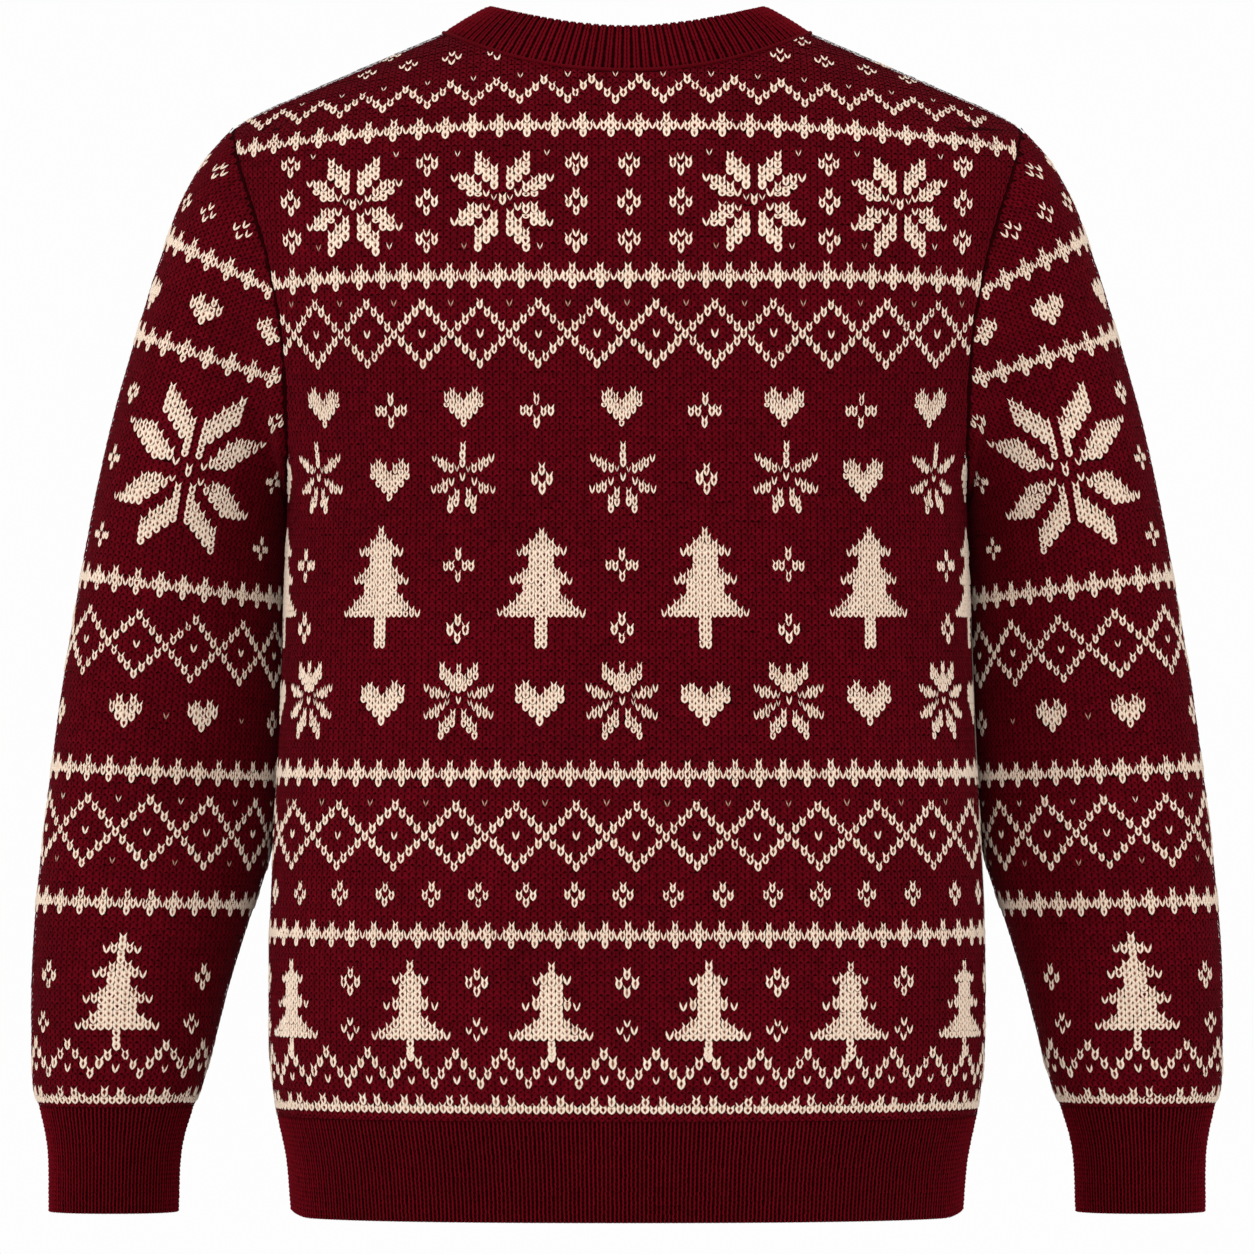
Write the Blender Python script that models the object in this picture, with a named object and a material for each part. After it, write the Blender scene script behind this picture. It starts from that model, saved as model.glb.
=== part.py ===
"""A crew-neck stranded-knit jumper, filled out as it is when worn, with nobody in it.

Eight cloth walls: a back and a front panel, two set-in sleeves, and the ribbed neckband,
hem band and cuffs. The origin is midway between the two high points of the shoulders, where
the neckband meets the shoulder seams. +Z is up, +Y is the wearer's front, and the wearer's
left sleeve is at -X. All lengths are in metres.
"""

import math

import bmesh
import bpy
import numpy as np

COLLECTION = "christmas_sweater"

# Cloth
WALL = 0.003
SEAM_GAP = 0.0003
ARMHOLE_GAP = 0.0004

# Torso: half its width and its depth to the back and to the front, from hem to underarm
HEM_BOTTOM = -0.6820
HEM_SEAM = -0.6240
UNDERARM = -0.270
BODY_SQUARENESS = 2.35
BODY_TABLE = (
    # height, half width, depth to the back, depth to the front
    (-0.6820, 0.1938, 0.1120, 0.1150),
    (-0.6480, 0.1968, 0.1150, 0.1180),
    (-0.6240, 0.2016, 0.1180, 0.1210),
    (-0.6000, 0.2052, 0.1215, 0.1250),
    (-0.5460, 0.2066, 0.1235, 0.1275),
    (-0.4770, 0.2045, 0.1225, 0.1270),
    (-0.3850, 0.1996, 0.1205, 0.1265),
    (-0.3030, 0.1970, 0.1205, 0.1265),
    (-0.2700, 0.1958, 0.1210, 0.1265),
    (-0.1500, 0.1958, 0.1225, 0.1270),
    (0.0500, 0.1958, 0.1220, 0.1250),
)

# Shoulders: a ridge from the neck to the tip, and how far down the cloth rounds over it
NECK_HALF_WIDTH = 0.1056
NECK_POINT_HEIGHT = 0.0000
SHOULDER_SLOPE = 0.430
SHOULDER_BEND = 0.200
TIP_HALF_WIDTH = 0.2273
TIP_EXTRA_FALL = 0.0022
ROUND_OVER_CENTRE = 0.240
ROUND_OVER_TIP = 0.090
ROUND_OVER_POWER = 1.2

# Armhole: an oval in side view, narrower towards the underarm by the power ARMHOLE_POINT,
# and how far out its seam runs at each height
ARMHOLE_HALF_DEPTH = 0.066
ARMHOLE_POINT = 1.45
MOST_SEAM_SHARE = 0.98
ARMHOLE_TABLE = (
    # height, half width of the body at the seam
    (-0.2700, 0.1958),
    (-0.2320, 0.1949),
    (-0.2008, 0.1955),
    (-0.1731, 0.1976),
    (-0.1483, 0.2020),
    (-0.1252, 0.2071),
    (-0.1039, 0.2135),
    (-0.0790, 0.2216),
    (-0.0545, 0.2273),
)

# Neckline and neckband
BACK_NECK_DROP = 0.0240
FRONT_NECK_DROP = 0.0850
BACK_NECK_POWER = 2.2
FRONT_NECK_POWER = 2.3
BAND_RISE_BACK, BAND_LEAN_BACK = 0.0272, 0.0170
BAND_RISE_SIDE, BAND_LEAN_SIDE = 0.0162, 0.0270
BAND_SIDE_POWER = 3
BAND_RISE_FRONT, BAND_LEAN_FRONT = 0.0265, 0.0130
BAND_RIBS = 108
BAND_PROFILE = (
    # part of the way up the band, how far out of its plane, share of the rib's height
    (0.00, 0.0000, 0.0),
    (0.14, 0.0004, 1.0),
    (0.55, 0.0006, 1.0),
    (0.90, 0.0000, 1.0),
    (1.00, -0.0020, 0.4),
)
BAND_INNER_PROFILE = (
    (0.00, -0.0048, 0.0),
    (0.93, -0.0042, 0.0),
)

# Ribs
RIB_HEIGHT = 0.0012
HEM_RIBS = 206
CUFF_RIBS = 52
HEM_CORNER_LIFT = 0.0035
HEM_CORNER_START = 0.94

# Sleeve: outer and inner edge of each section, and its half depth; inner_y carries the
# inside of the arm forward, so that it rests beside the front of the body's rounded side
SLEEVE_TABLE = (
    # outer_x, outer_z, outer_y, inner_x, inner_z, inner_y, half_depth
    (0.2273, -0.0545, 0.000, 0.1958, -0.2700, 0.000, 0.0660),
    (0.2437, -0.0733, 0.000, 0.1975, -0.2730, 0.014, 0.0685),
    (0.2568, -0.0964, 0.000, 0.1952, -0.2760, 0.033, 0.0705),
    (0.2695, -0.1310, 0.001, 0.1948, -0.2795, 0.039, 0.0720),
    (0.2839, -0.1771, 0.002, 0.1948, -0.2840, 0.043, 0.0735),
    (0.2970, -0.2233, 0.004, 0.1948, -0.2895, 0.046, 0.0740),
    (0.3064, -0.2648, 0.006, 0.1950, -0.2970, 0.049, 0.0735),
    (0.3179, -0.3272, 0.009, 0.1958, -0.3450, 0.053, 0.0700),
    (0.3274, -0.3849, 0.012, 0.1968, -0.3960, 0.055, 0.0655),
    (0.3336, -0.4310, 0.014, 0.2008, -0.4390, 0.052, 0.0620),
    (0.3390, -0.4772, 0.016, 0.2088, -0.4820, 0.044, 0.0585),
    (0.3424, -0.5118, 0.017, 0.2198, -0.5150, 0.036, 0.0555),
    (0.3443, -0.5464, 0.018, 0.2298, -0.5480, 0.028, 0.0530),
    (0.3445, -0.5753, 0.019, 0.2370, -0.5760, 0.024, 0.0505),
    (0.3441, -0.5984, 0.020, 0.2428, -0.5984, 0.022, 0.0480),
    (0.3432, -0.6111, 0.020, 0.2468, -0.6111, 0.021, 0.0455),
    (0.3400, -0.6192, 0.020, 0.2506, -0.6192, 0.021, 0.0425),
)
SLEEVE_SQUARENESS = 2.15
HEAD_BOW_SHARES = (0.62, 0.34, 0.14, 0.04)
CUFF_TABLE = (
    # height, outer_x, inner_x, half_depth
    (-0.6192, 0.3400, 0.2506, 0.0425),
    (-0.6387, 0.3358, 0.2565, 0.0385),
    (-0.6808, 0.3344, 0.2596, 0.0360),
)
CUFF_Y = 0.0205

# How finely the walls are divided
NECK_COLUMNS = 14
SHOULDER_COLUMNS = 5
YOKE_ROWS = 12
BODY_ROWS = (HEM_SEAM, -0.6110, -0.5900, -0.5460, -0.4770, -0.4000, -0.3300)
BAND_INNER_COLUMNS = 2 * NECK_COLUMNS
HEM_INNER_COLUMNS = 48
CUFF_INNER_COLUMNS = 24
OVAL_STEPS = 2880

BURGUNDY = (0.085, 0.004, 0.010, 1.0)
RIB_BURGUNDY = (0.062, 0.002, 0.007, 1.0)
KNIT_ROUGHNESS = 0.9

TINY = 1e-9


def clear_scene():
    for obj in list(bpy.data.objects):
        bpy.data.objects.remove(obj, do_unlink=True)


def smooth_column(table, column):
    """A smooth curve through one column of a table, read against its first column."""
    rows = np.array(table, dtype=float)
    knots = rows[:, 0]
    values = rows[:, column]
    steps = np.diff(knots)
    slopes = np.diff(values) / steps
    tangents = np.empty_like(values)
    tangents[1:-1] = (slopes[:-1] * steps[1:] + slopes[1:] * steps[:-1]) / (steps[:-1] + steps[1:])
    tangents[0] = slopes[0]
    tangents[-1] = slopes[-1]

    def read(at):
        at = np.clip(np.asarray(at, dtype=float), knots[0], knots[-1])
        index = np.clip(np.searchsorted(knots, at) - 1, 0, len(steps) - 1)
        width = steps[index]
        t = (at - knots[index]) / width
        start = (2 * t**3 - 3 * t**2 + 1) * values[index] + (t**3 - 2 * t**2 + t) * width * tangents[index]
        end = (3 * t**2 - 2 * t**3) * values[index + 1] + (t**3 - t**2) * width * tangents[index + 1]
        return start + end

    return read


body_half_width = smooth_column(BODY_TABLE, 1)
back_depth = smooth_column(BODY_TABLE, 2)
front_depth = smooth_column(BODY_TABLE, 3)
armhole_half_width = smooth_column(ARMHOLE_TABLE, 1)


def shoulder_height(x):
    """Height of the shoulder ridge, carried on over the neck as a smooth arch."""
    x = np.abs(x)
    slope = NECK_POINT_HEIGHT - SHOULDER_SLOPE * (x - NECK_HALF_WIDTH)
    past_bend = np.clip((x - SHOULDER_BEND) / (TIP_HALF_WIDTH - SHOULDER_BEND), 0, None)
    slope = slope - TIP_EXTRA_FALL * past_bend**2
    arch_fall = SHOULDER_SLOPE / (2 * NECK_HALF_WIDTH)
    arch = NECK_POINT_HEIGHT + arch_fall * (NECK_HALF_WIDTH**2 - x**2)
    return np.where(x < NECK_HALF_WIDTH, arch, slope)


def round_over(x, z):
    """1 down the body, falling to 0 where the cloth turns over the shoulder ridge."""
    narrowing = (np.abs(x) / TIP_HALF_WIDTH) ** ROUND_OVER_POWER
    reach = ROUND_OVER_CENTRE - (ROUND_OVER_CENTRE - ROUND_OVER_TIP) * narrowing
    below = np.clip((shoulder_height(x) - z) / reach, 0, 1)
    return np.sqrt(1 - (1 - below) ** 2)


def armhole_angle(z):
    """Angle round the armhole's oval, from 0 at the shoulder tip to pi at the underarm."""
    tip = float(shoulder_height(TIP_HALF_WIDTH))
    middle = (tip + UNDERARM) / 2
    return np.arccos(np.clip((z - middle) / (tip - middle), -1, 1))


def armhole_power(angle):
    return np.where(np.cos(angle) < 0, ARMHOLE_POINT, 1.0)


def torso_half_width(z, depth):
    """Half width of the whole torso form. Above the underarm it is the one whose side
    passes through the armhole's seam."""
    z = np.asarray(z, dtype=float)
    seam_x = armhole_half_width(z)
    angle = armhole_angle(z)
    seam_depth = ARMHOLE_HALF_DEPTH * np.sin(angle) ** armhole_power(angle)
    full_depth = depth(z) * np.maximum(round_over(seam_x, z), TINY)
    share = np.clip(seam_depth / full_depth, 0, MOST_SEAM_SHARE)
    widened = seam_x / (1 - share**BODY_SQUARENESS) ** (1 / BODY_SQUARENESS)
    return np.where(z <= UNDERARM, body_half_width(z), widened)


def torso_depth(x, z, depth):
    """How far the cloth stands from the plane of the seams, at a place on the panel."""
    share = np.clip(np.abs(x) / torso_half_width(z, depth), 0, 1)
    flatness = (1 - share**BODY_SQUARENESS) ** (1 / BODY_SQUARENESS)
    return depth(z) * flatness * round_over(x, z)


def signed_power(value, power):
    return np.sign(value) * np.abs(value) ** power


def neckline_height(x, drop, power):
    across = np.abs(x) / NECK_HALF_WIDTH
    return NECK_POINT_HEIGHT - drop * (1 - across**power)


def unit(vectors):
    return vectors / np.maximum(np.linalg.norm(vectors, axis=-1, keepdims=True), TINY**2)


def grid_normals(points, closed):
    """Normals of a grid of points, rows by columns; a closed grid runs on from its last
    column to its first."""
    if closed:
        around = np.roll(points, -1, axis=1) - np.roll(points, 1, axis=1)
    else:
        around = np.gradient(points, axis=1)
    along = np.gradient(points, axis=0)
    return unit(np.cross(around, along))


def band_path(points, side):
    """From each neckline point to the neckband's upper edge there; side as in build_panel."""
    sides = np.clip(np.abs(points[:, 0]) / NECK_HALF_WIDTH, 0, 1) ** BAND_SIDE_POWER
    rise_far = BAND_RISE_FRONT if side > 0 else BAND_RISE_BACK
    lean_far = BAND_LEAN_FRONT if side > 0 else BAND_LEAN_BACK
    rise = BAND_RISE_SIDE * sides + rise_far * (1 - sides)
    lean = BAND_LEAN_SIDE * sides + lean_far * (1 - sides)
    inward = unit(np.stack([-points[:, 0], -points[:, 1], np.zeros(len(points))], axis=1))
    path = inward * lean[:, None]
    path[:, 2] = rise
    return path


def build_panel(side):
    """Outer points and outward directions of a panel; side is -1 at the back, 1 in front."""
    depth = back_depth if side < 0 else front_depth
    drop = BACK_NECK_DROP if side < 0 else FRONT_NECK_DROP
    power = BACK_NECK_POWER if side < 0 else FRONT_NECK_POWER

    half = NECK_COLUMNS // 2
    neck_share = np.sin(np.linspace(0, math.pi / 2, half + 1)[:-1])
    neck_x = NECK_HALF_WIDTH * neck_share
    shoulder_x = np.linspace(NECK_HALF_WIDTH, TIP_HALF_WIDTH, SHOULDER_COLUMNS + 1)
    top_x = np.concatenate([neck_x, shoulder_x])
    top_z = np.where(
        top_x < NECK_HALF_WIDTH - TINY,
        neckline_height(top_x, drop, power),
        shoulder_height(top_x),
    )
    columns = len(top_x)
    angle_share = np.linspace(0, 1, columns)
    turn = signed_power(np.sin(angle_share * math.pi / 2), 2 / BODY_SQUARENESS)

    rows = []
    for z in BODY_ROWS:
        x = float(body_half_width(z)) * turn
        rows.append(np.stack([x, torso_depth(x, np.full(columns, z), depth), np.full(columns, z)], 1))
    start_x = float(body_half_width(UNDERARM)) * turn
    for step in range(YOKE_ROWS + 1):
        up = (1 - math.cos(math.pi * step / YOKE_ROWS)) / 2
        z = UNDERARM + (top_z - UNDERARM) * up
        x = start_x * (1 - up) + top_x * up
        to_seam = float(armhole_half_width(z[-1])) - x[-1]
        x = x + to_seam * angle_share**3
        rows.append(np.stack([x, torso_depth(x, z, depth), z], 1))
    half_grid = np.array(rows)
    # The shoulder seam lies in the plane of the seams.
    half_grid[-1, half:, 1] = 0
    half_grid[: len(BODY_ROWS) + 1, -1, 1] = 0

    left = half_grid[:, :0:-1] * np.array([-1, 1, 1])
    grid = np.concatenate([left, half_grid], axis=1) * np.array([1, side, 1])

    normals = grid_normals(grid, closed=False) * (-side)
    normals[0, :, 2] = 0
    for column, sign in ((0, -1), (-1, 1)):
        normals[: len(BODY_ROWS), column] = (sign, 0, 0)
        seam = grid[len(BODY_ROWS) :, column]
        angle = armhole_angle(seam[:, 2])
        reach = (float(shoulder_height(TIP_HALF_WIDTH)) - UNDERARM) / 2
        power = armhole_power(angle)
        fall = power * np.maximum(np.sin(angle), TINY) ** (power - 1) * np.cos(angle)
        normals[len(BODY_ROWS) :, column, 0] = 0
        normals[len(BODY_ROWS) :, column, 1] = side * np.sin(angle) / ARMHOLE_HALF_DEPTH
        normals[len(BODY_ROWS) :, column, 2] = fall / reach
    for column in range(1, SHOULDER_COLUMNS + 1):
        normals[-1, column] = (-SHOULDER_SLOPE, 0, 1)
        normals[-1, -1 - column] = (SHOULDER_SLOPE, 0, 1)
    neck = slice(SHOULDER_COLUMNS, SHOULDER_COLUMNS + NECK_COLUMNS + 1)
    normals[-1, neck] = neck_directions(grid[-1, neck], side)
    return grid, unit(normals)


def neck_directions(points, side):
    """Outward directions of the neckband where it leaves a panel's neckline."""
    facing = np.cross(np.gradient(points, axis=0), band_path(points, side)) * (-side)
    facing[0] = (-BAND_RISE_SIDE, 0, BAND_LEAN_SIDE)
    facing[-1] = (BAND_RISE_SIDE, 0, BAND_LEAN_SIDE)
    return unit(facing)


def mesh_object(name, bm, material, collection):
    bmesh.ops.recalc_face_normals(bm, faces=bm.faces)
    mesh = bpy.data.meshes.new(name)
    bm.to_mesh(mesh)
    bm.free()
    mesh.materials.append(material)
    mesh.shade_smooth()
    obj = bpy.data.objects.new(name, mesh)
    collection.objects.link(obj)
    return obj


def add_rows(bm, rows):
    return [[bm.verts.new(point) for point in row] for row in rows]


def join_rows(bm, lower, upper, closed):
    count = len(lower)
    for index in range(count if closed else count - 1):
        after = (index + 1) % count
        bm.faces.new((lower[index], lower[after], upper[after], upper[index]))


def join_uneven(bm, many, few):
    """Faces between two closed rings that start at the same place and turn the same way,
    with more points in one than in the other."""
    done = 0
    for index in range(len(many)):
        after = index + 1
        due = int(round(after * len(few) / len(many)))
        bm.faces.new((many[index], many[after % len(many)], few[done % len(few)]))
        if due > done:
            bm.faces.new((many[after % len(many)], few[(done + 1) % len(few)], few[done % len(few)]))
            done += 1


def build_wall(name, outer, inner, closed, material, collection):
    """A cloth wall between two grids of points, shut along its free edges."""
    bm = bmesh.new()
    outside = add_rows(bm, outer)
    inside = add_rows(bm, inner)
    for sheet in (outside, inside):
        for lower, upper in zip(sheet[:-1], sheet[1:]):
            join_rows(bm, lower, upper, closed)
    for row in (0, -1):
        join_rows(bm, outside[row], inside[row], closed)
    if not closed:
        for column in (0, -1):
            edge_out = [row[column] for row in outside]
            edge_in = [row[column] for row in inside]
            join_rows(bm, edge_out, edge_in, closed=False)
    return mesh_object(name, bm, material, collection)


def make_panel(name, side, material, collection):
    grid, normals = build_panel(side)
    outer = grid + np.array([0, side * SEAM_GAP / 2, 0])
    outer[0, :, 2] += SEAM_GAP / 2
    inner = outer - normals * WALL
    build_wall(name, outer, inner, False, material, collection)
    return grid, normals


def sleeve_rings():
    """Rings of a sleeve at +X, from the armhole down. Each starts at its outer edge and
    turns by the back, with the same angles as the armhole's points."""
    angles = np.pi * np.arange(2 * YOKE_ROWS) / YOKE_ROWS
    across = signed_power(np.cos(angles), 2 / SLEEVE_SQUARENESS)
    deep = signed_power(np.sin(angles), 2 / SLEEVE_SQUARENESS)
    rings = []
    for outer_x, outer_z, outer_y, inner_x, inner_z, inner_y, half_depth in SLEEVE_TABLE[1:]:
        outer = np.array([outer_x, outer_y, outer_z])
        inner = np.array([inner_x, inner_y, inner_z])
        middle = (outer + inner) / 2
        reach = (outer - inner) / 2
        back = np.array([0, -half_depth, 0])
        rings.append(middle + across[:, None] * reach + deep[:, None] * back)
    return np.array(rings)


def make_sleeve(name, side, armhole, directions, material, collection):
    """armhole is the ring of seam points of both panels, from the shoulder tip by the back."""
    rings = sleeve_rings()
    # The round head of the sleeve leaves the seam's curve over the first sections.
    tip_x, tip_z, _, under_x, under_z, _, _ = SLEEVE_TABLE[0]
    straight = under_x + (tip_x - under_x) * (armhole[:, 2] - under_z) / (tip_z - under_z)
    for ring, share in zip(rings, HEAD_BOW_SHARES):
        ring[:, 0] += (armhole[:, 0] - straight) * share
    first = armhole + np.array([ARMHOLE_GAP, 0, 0])
    outer = np.concatenate([first[None], rings])
    outer[-1, :, 2] += SEAM_GAP / 2
    normals = grid_normals(outer, closed=True)
    normals[0] = directions
    normals[-1, :, 2] = 0
    inner = outer - unit(normals) * WALL
    mirror = np.array([side, 1, 1])
    build_wall(name, outer * mirror, inner * mirror, True, material, collection)


def seam_ring(back_edge, front_edge):
    """The armhole's closed ring, from the shoulder tip down the back and up the front."""
    return np.concatenate([back_edge[::-1], front_edge[1:-1]])


def superellipse_ring(count, centre, half_x, half_back, half_front, squareness):
    """Points evenly turned round a rounded oval, from +X by the back, with their normals."""
    angles = 2 * np.pi * np.arange(count) / count
    fine = 2 * np.pi * np.arange(OVAL_STEPS) / OVAL_STEPS
    curve_x = half_x * signed_power(np.cos(fine), 2 / squareness)
    curve_y = signed_power(np.sin(fine), 2 / squareness)
    curve_y = -np.where(curve_y > 0, half_back * curve_y, half_front * curve_y)
    closed_x = np.append(curve_x, curve_x[0])
    closed_y = np.append(curve_y, curve_y[0])
    run = np.concatenate([[0], np.cumsum(np.hypot(np.diff(closed_x), np.diff(closed_y)))])
    at = run[-1] * angles / (2 * np.pi)
    x = np.interp(at, run, closed_x)
    y = np.interp(at, run, closed_y)
    tangent = np.stack([np.roll(x, -1) - np.roll(x, 1), np.roll(y, -1) - np.roll(y, 1)], axis=1)
    normal = unit(np.stack([-tangent[:, 1], tangent[:, 0]], axis=1))
    points = np.stack([centre[0] + x, centre[1] + y], axis=1)
    facing = np.sum(normal * np.stack([x, y], axis=1), axis=1) < 0
    normal[facing] *= -1
    return points, normal


def make_ribbed_tube(name, sections, ribs, inner_count, thickness, lift, material, collection):
    """A ribbed tube hanging straight down. sections holds, for each ring from the top, its
    height, centre, half width, depths to the back and front, and squareness."""
    crest = np.where(np.arange(2 * ribs) % 2 == 0, 0.5, -0.5) * RIB_HEIGHT
    bm = bmesh.new()
    outside = []
    inside = []
    for height, centre, half_x, half_back, half_front, squareness in sections:
        points, normal = superellipse_ring(2 * ribs, centre, half_x, half_back, half_front, squareness)
        raised = points + normal * crest[:, None]
        heights = height + lift(points[:, 0] - centre[0], half_x, height)
        outside.append([bm.verts.new((x, y, z)) for (x, y), z in zip(raised, heights)])
        plain, plain_normal = superellipse_ring(
            inner_count, centre, half_x, half_back, half_front, squareness
        )
        plain = plain - plain_normal * thickness
        heights = height + lift(plain[:, 0] - centre[0], half_x, height)
        inside.append([bm.verts.new((x, y, z)) for (x, y), z in zip(plain, heights)])
    for sheet in (outside, inside):
        for upper, lower in zip(sheet[:-1], sheet[1:]):
            join_rows(bm, upper, lower, closed=True)
    join_uneven(bm, outside[0], inside[0])
    join_uneven(bm, outside[-1], inside[-1])
    return mesh_object(name, bm, material, collection)


def hem_lift(x, half_x, height):
    """The hem's lower edge turns up a little at the two sides."""
    if height > HEM_BOTTOM + TINY:
        return np.zeros_like(x)
    past = np.clip((np.abs(x) / half_x - HEM_CORNER_START) / (1 - HEM_CORNER_START), 0, 1)
    return HEM_CORNER_LIFT * past**2


def make_hem(material, collection):
    sections = []
    for height in (HEM_SEAM - SEAM_GAP / 2, -0.6480, HEM_BOTTOM):
        sections.append(
            (
                height,
                (0.0, 0.0),
                float(body_half_width(height)),
                float(back_depth(height)),
                float(front_depth(height)),
                BODY_SQUARENESS,
            )
        )
    make_ribbed_tube(
        "hem_band", sections, HEM_RIBS, HEM_INNER_COLUMNS, WALL, hem_lift, material, collection
    )


def make_cuff(name, side, material, collection):
    sections = []
    for index, (height, outer_x, inner_x, half_depth) in enumerate(CUFF_TABLE):
        top = height - SEAM_GAP / 2 if index == 0 else height
        centre = (side * (outer_x + inner_x) / 2, CUFF_Y)
        half_x = (outer_x - inner_x) / 2
        sections.append((top, centre, half_x, half_depth, half_depth, SLEEVE_SQUARENESS))

    def level(x, half_x, height):
        return np.zeros_like(x)

    make_ribbed_tube(
        name, sections, CUFF_RIBS, CUFF_INNER_COLUMNS, WALL, level, material, collection
    )


def spread_on_polyline(ring, values, count):
    """count places evenly spaced round a closed polyline, and the values carried to them."""
    closed = np.concatenate([ring, ring[:1]])
    carried = np.concatenate([values, values[:1]])
    run = np.concatenate([[0], np.cumsum(np.linalg.norm(np.diff(closed, axis=0), axis=1))])
    at = run[-1] * np.arange(count) / count
    points = np.stack([np.interp(at, run, closed[:, axis]) for axis in range(3)], axis=1)
    result = np.stack([np.interp(at, run, carried[:, axis]) for axis in range(values.shape[1])], axis=1)
    return points, result


def make_neckband(back, front, material, collection):
    neck = slice(SHOULDER_COLUMNS, SHOULDER_COLUMNS + NECK_COLUMNS + 1)
    back_points, back_facing = back[0][-1, neck], back[1][-1, neck]
    front_points, front_facing = front[0][-1, neck], front[1][-1, neck]
    ring = np.concatenate([back_points[::-1], front_points[1:-1]])
    facing = np.concatenate([back_facing[::-1], front_facing[1:-1]])
    path = np.concatenate([band_path(back_points, -1)[::-1], band_path(front_points, 1)[1:-1]])
    carried = np.concatenate([facing, path], axis=1)
    bm = bmesh.new()

    def ring_rows(count, profile, ribbed):
        points, values = spread_on_polyline(ring, carried, count)
        out = unit(values[:, :3])
        up = values[:, 3:]
        points = points + unit(up) * ARMHOLE_GAP
        crest = np.where(np.arange(count) % 2 == 0, 0.5, -0.5) * RIB_HEIGHT
        rows = []
        for way_up, stand, share in profile:
            raised = stand + (crest * share if ribbed else np.zeros(count))
            rows.append(points + up * way_up + out * raised[:, None])
        return add_rows(bm, rows)

    outside = ring_rows(2 * BAND_RIBS, BAND_PROFILE, ribbed=True)
    inside = ring_rows(BAND_INNER_COLUMNS, BAND_INNER_PROFILE, ribbed=False)
    for sheet in (outside, inside):
        for lower, upper in zip(sheet[:-1], sheet[1:]):
            join_rows(bm, lower, upper, closed=True)
    join_uneven(bm, outside[0], inside[0])
    join_uneven(bm, outside[-1], inside[-1])
    return mesh_object("neckband", bm, material, collection)


def make_material(name, color):
    material = bpy.data.materials.new(name)
    material.use_nodes = True
    shader = material.node_tree.nodes["Principled BSDF"]
    shader.inputs["Base Color"].default_value = color
    shader.inputs["Roughness"].default_value = KNIT_ROUGHNESS
    shader.inputs["Metallic"].default_value = 0.0
    material.diffuse_color = color
    return material


def main():
    clear_scene()
    collection = bpy.data.collections.new(COLLECTION)
    bpy.context.scene.collection.children.link(collection)

    def knit(piece):
        return make_material(piece + "_knit", BURGUNDY)

    def rib(piece):
        return make_material(piece + "_rib", RIB_BURGUNDY)

    back = make_panel("back_panel", -1, knit("back_panel"), collection)
    front = make_panel("front_panel", 1, knit("front_panel"), collection)
    yoke = slice(len(BODY_ROWS), None)
    armhole = seam_ring(back[0][yoke, -1], front[0][yoke, -1])
    directions = seam_ring(back[1][yoke, -1], front[1][yoke, -1])
    for name, side in (("sleeve_left", -1), ("sleeve_right", 1)):
        make_sleeve(name, side, armhole, directions, knit(name), collection)
    for name, side in (("cuff_left", -1), ("cuff_right", 1)):
        make_cuff(name, side, rib(name), collection)
    make_hem(rib("hem_band"), collection)
    make_neckband(back, front, rib("neckband"), collection)


main()
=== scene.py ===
"""A crew-neck stranded-knit jumper in burgundy and cream, filled out as it is when worn.

A thin shell takes the place of each of the eight cloth walls, and every stitch on its outside
is a V of yarn. Stitches are placed by column and row on the piece's own knitted face: columns
are counted from the middle of a panel, or from the outer line of a sleeve, and rows from the
seam above the ribs. All lengths are in metres; +Z is up and the back faces -Y.
"""

import math

import bpy
import numpy as np
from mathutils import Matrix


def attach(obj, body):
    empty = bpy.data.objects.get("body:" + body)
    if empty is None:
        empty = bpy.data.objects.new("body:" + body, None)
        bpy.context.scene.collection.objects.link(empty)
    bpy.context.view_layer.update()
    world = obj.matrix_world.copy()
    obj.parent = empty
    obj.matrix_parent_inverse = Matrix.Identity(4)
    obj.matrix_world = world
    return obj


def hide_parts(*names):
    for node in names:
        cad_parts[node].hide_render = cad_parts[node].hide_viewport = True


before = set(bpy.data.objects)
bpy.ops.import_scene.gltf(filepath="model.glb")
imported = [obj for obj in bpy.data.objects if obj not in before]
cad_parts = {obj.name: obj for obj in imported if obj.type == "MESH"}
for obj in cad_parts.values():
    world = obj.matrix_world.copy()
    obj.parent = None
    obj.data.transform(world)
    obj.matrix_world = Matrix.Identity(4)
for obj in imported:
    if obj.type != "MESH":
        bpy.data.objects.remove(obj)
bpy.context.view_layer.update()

# ---------------------------------------------------------------------------
# Form of the garment, from the same named values as its solids
# ---------------------------------------------------------------------------

HEM_BOTTOM, HEM_SEAM, UNDERARM = -0.6820, -0.6240, -0.2700
BODY_SQUARENESS = 2.35
BODY_TABLE = (
    # height, half width, depth to the back, depth to the front
    (-0.6820, 0.1938, 0.1120, 0.1150),
    (-0.6480, 0.1968, 0.1150, 0.1180),
    (-0.6240, 0.2016, 0.1180, 0.1210),
    (-0.6000, 0.2052, 0.1215, 0.1250),
    (-0.5460, 0.2066, 0.1235, 0.1275),
    (-0.4770, 0.2045, 0.1225, 0.1270),
    (-0.3850, 0.1996, 0.1205, 0.1265),
    (-0.3030, 0.1970, 0.1205, 0.1265),
    (-0.2700, 0.1958, 0.1210, 0.1265),
    (-0.1500, 0.1958, 0.1225, 0.1270),
    (0.0500, 0.1958, 0.1220, 0.1250),
)
NECK_HALF_WIDTH = 0.1056
SHOULDER_SLOPE, SHOULDER_BEND = 0.430, 0.200
TIP_HALF_WIDTH, TIP_EXTRA_FALL = 0.2273, 0.0022
ROUND_OVER_CENTRE, ROUND_OVER_TIP, ROUND_OVER_POWER = 0.240, 0.090, 1.2
ARMHOLE_HALF_DEPTH, ARMHOLE_POINT, MOST_SEAM_SHARE = 0.066, 1.45, 0.98
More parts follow.
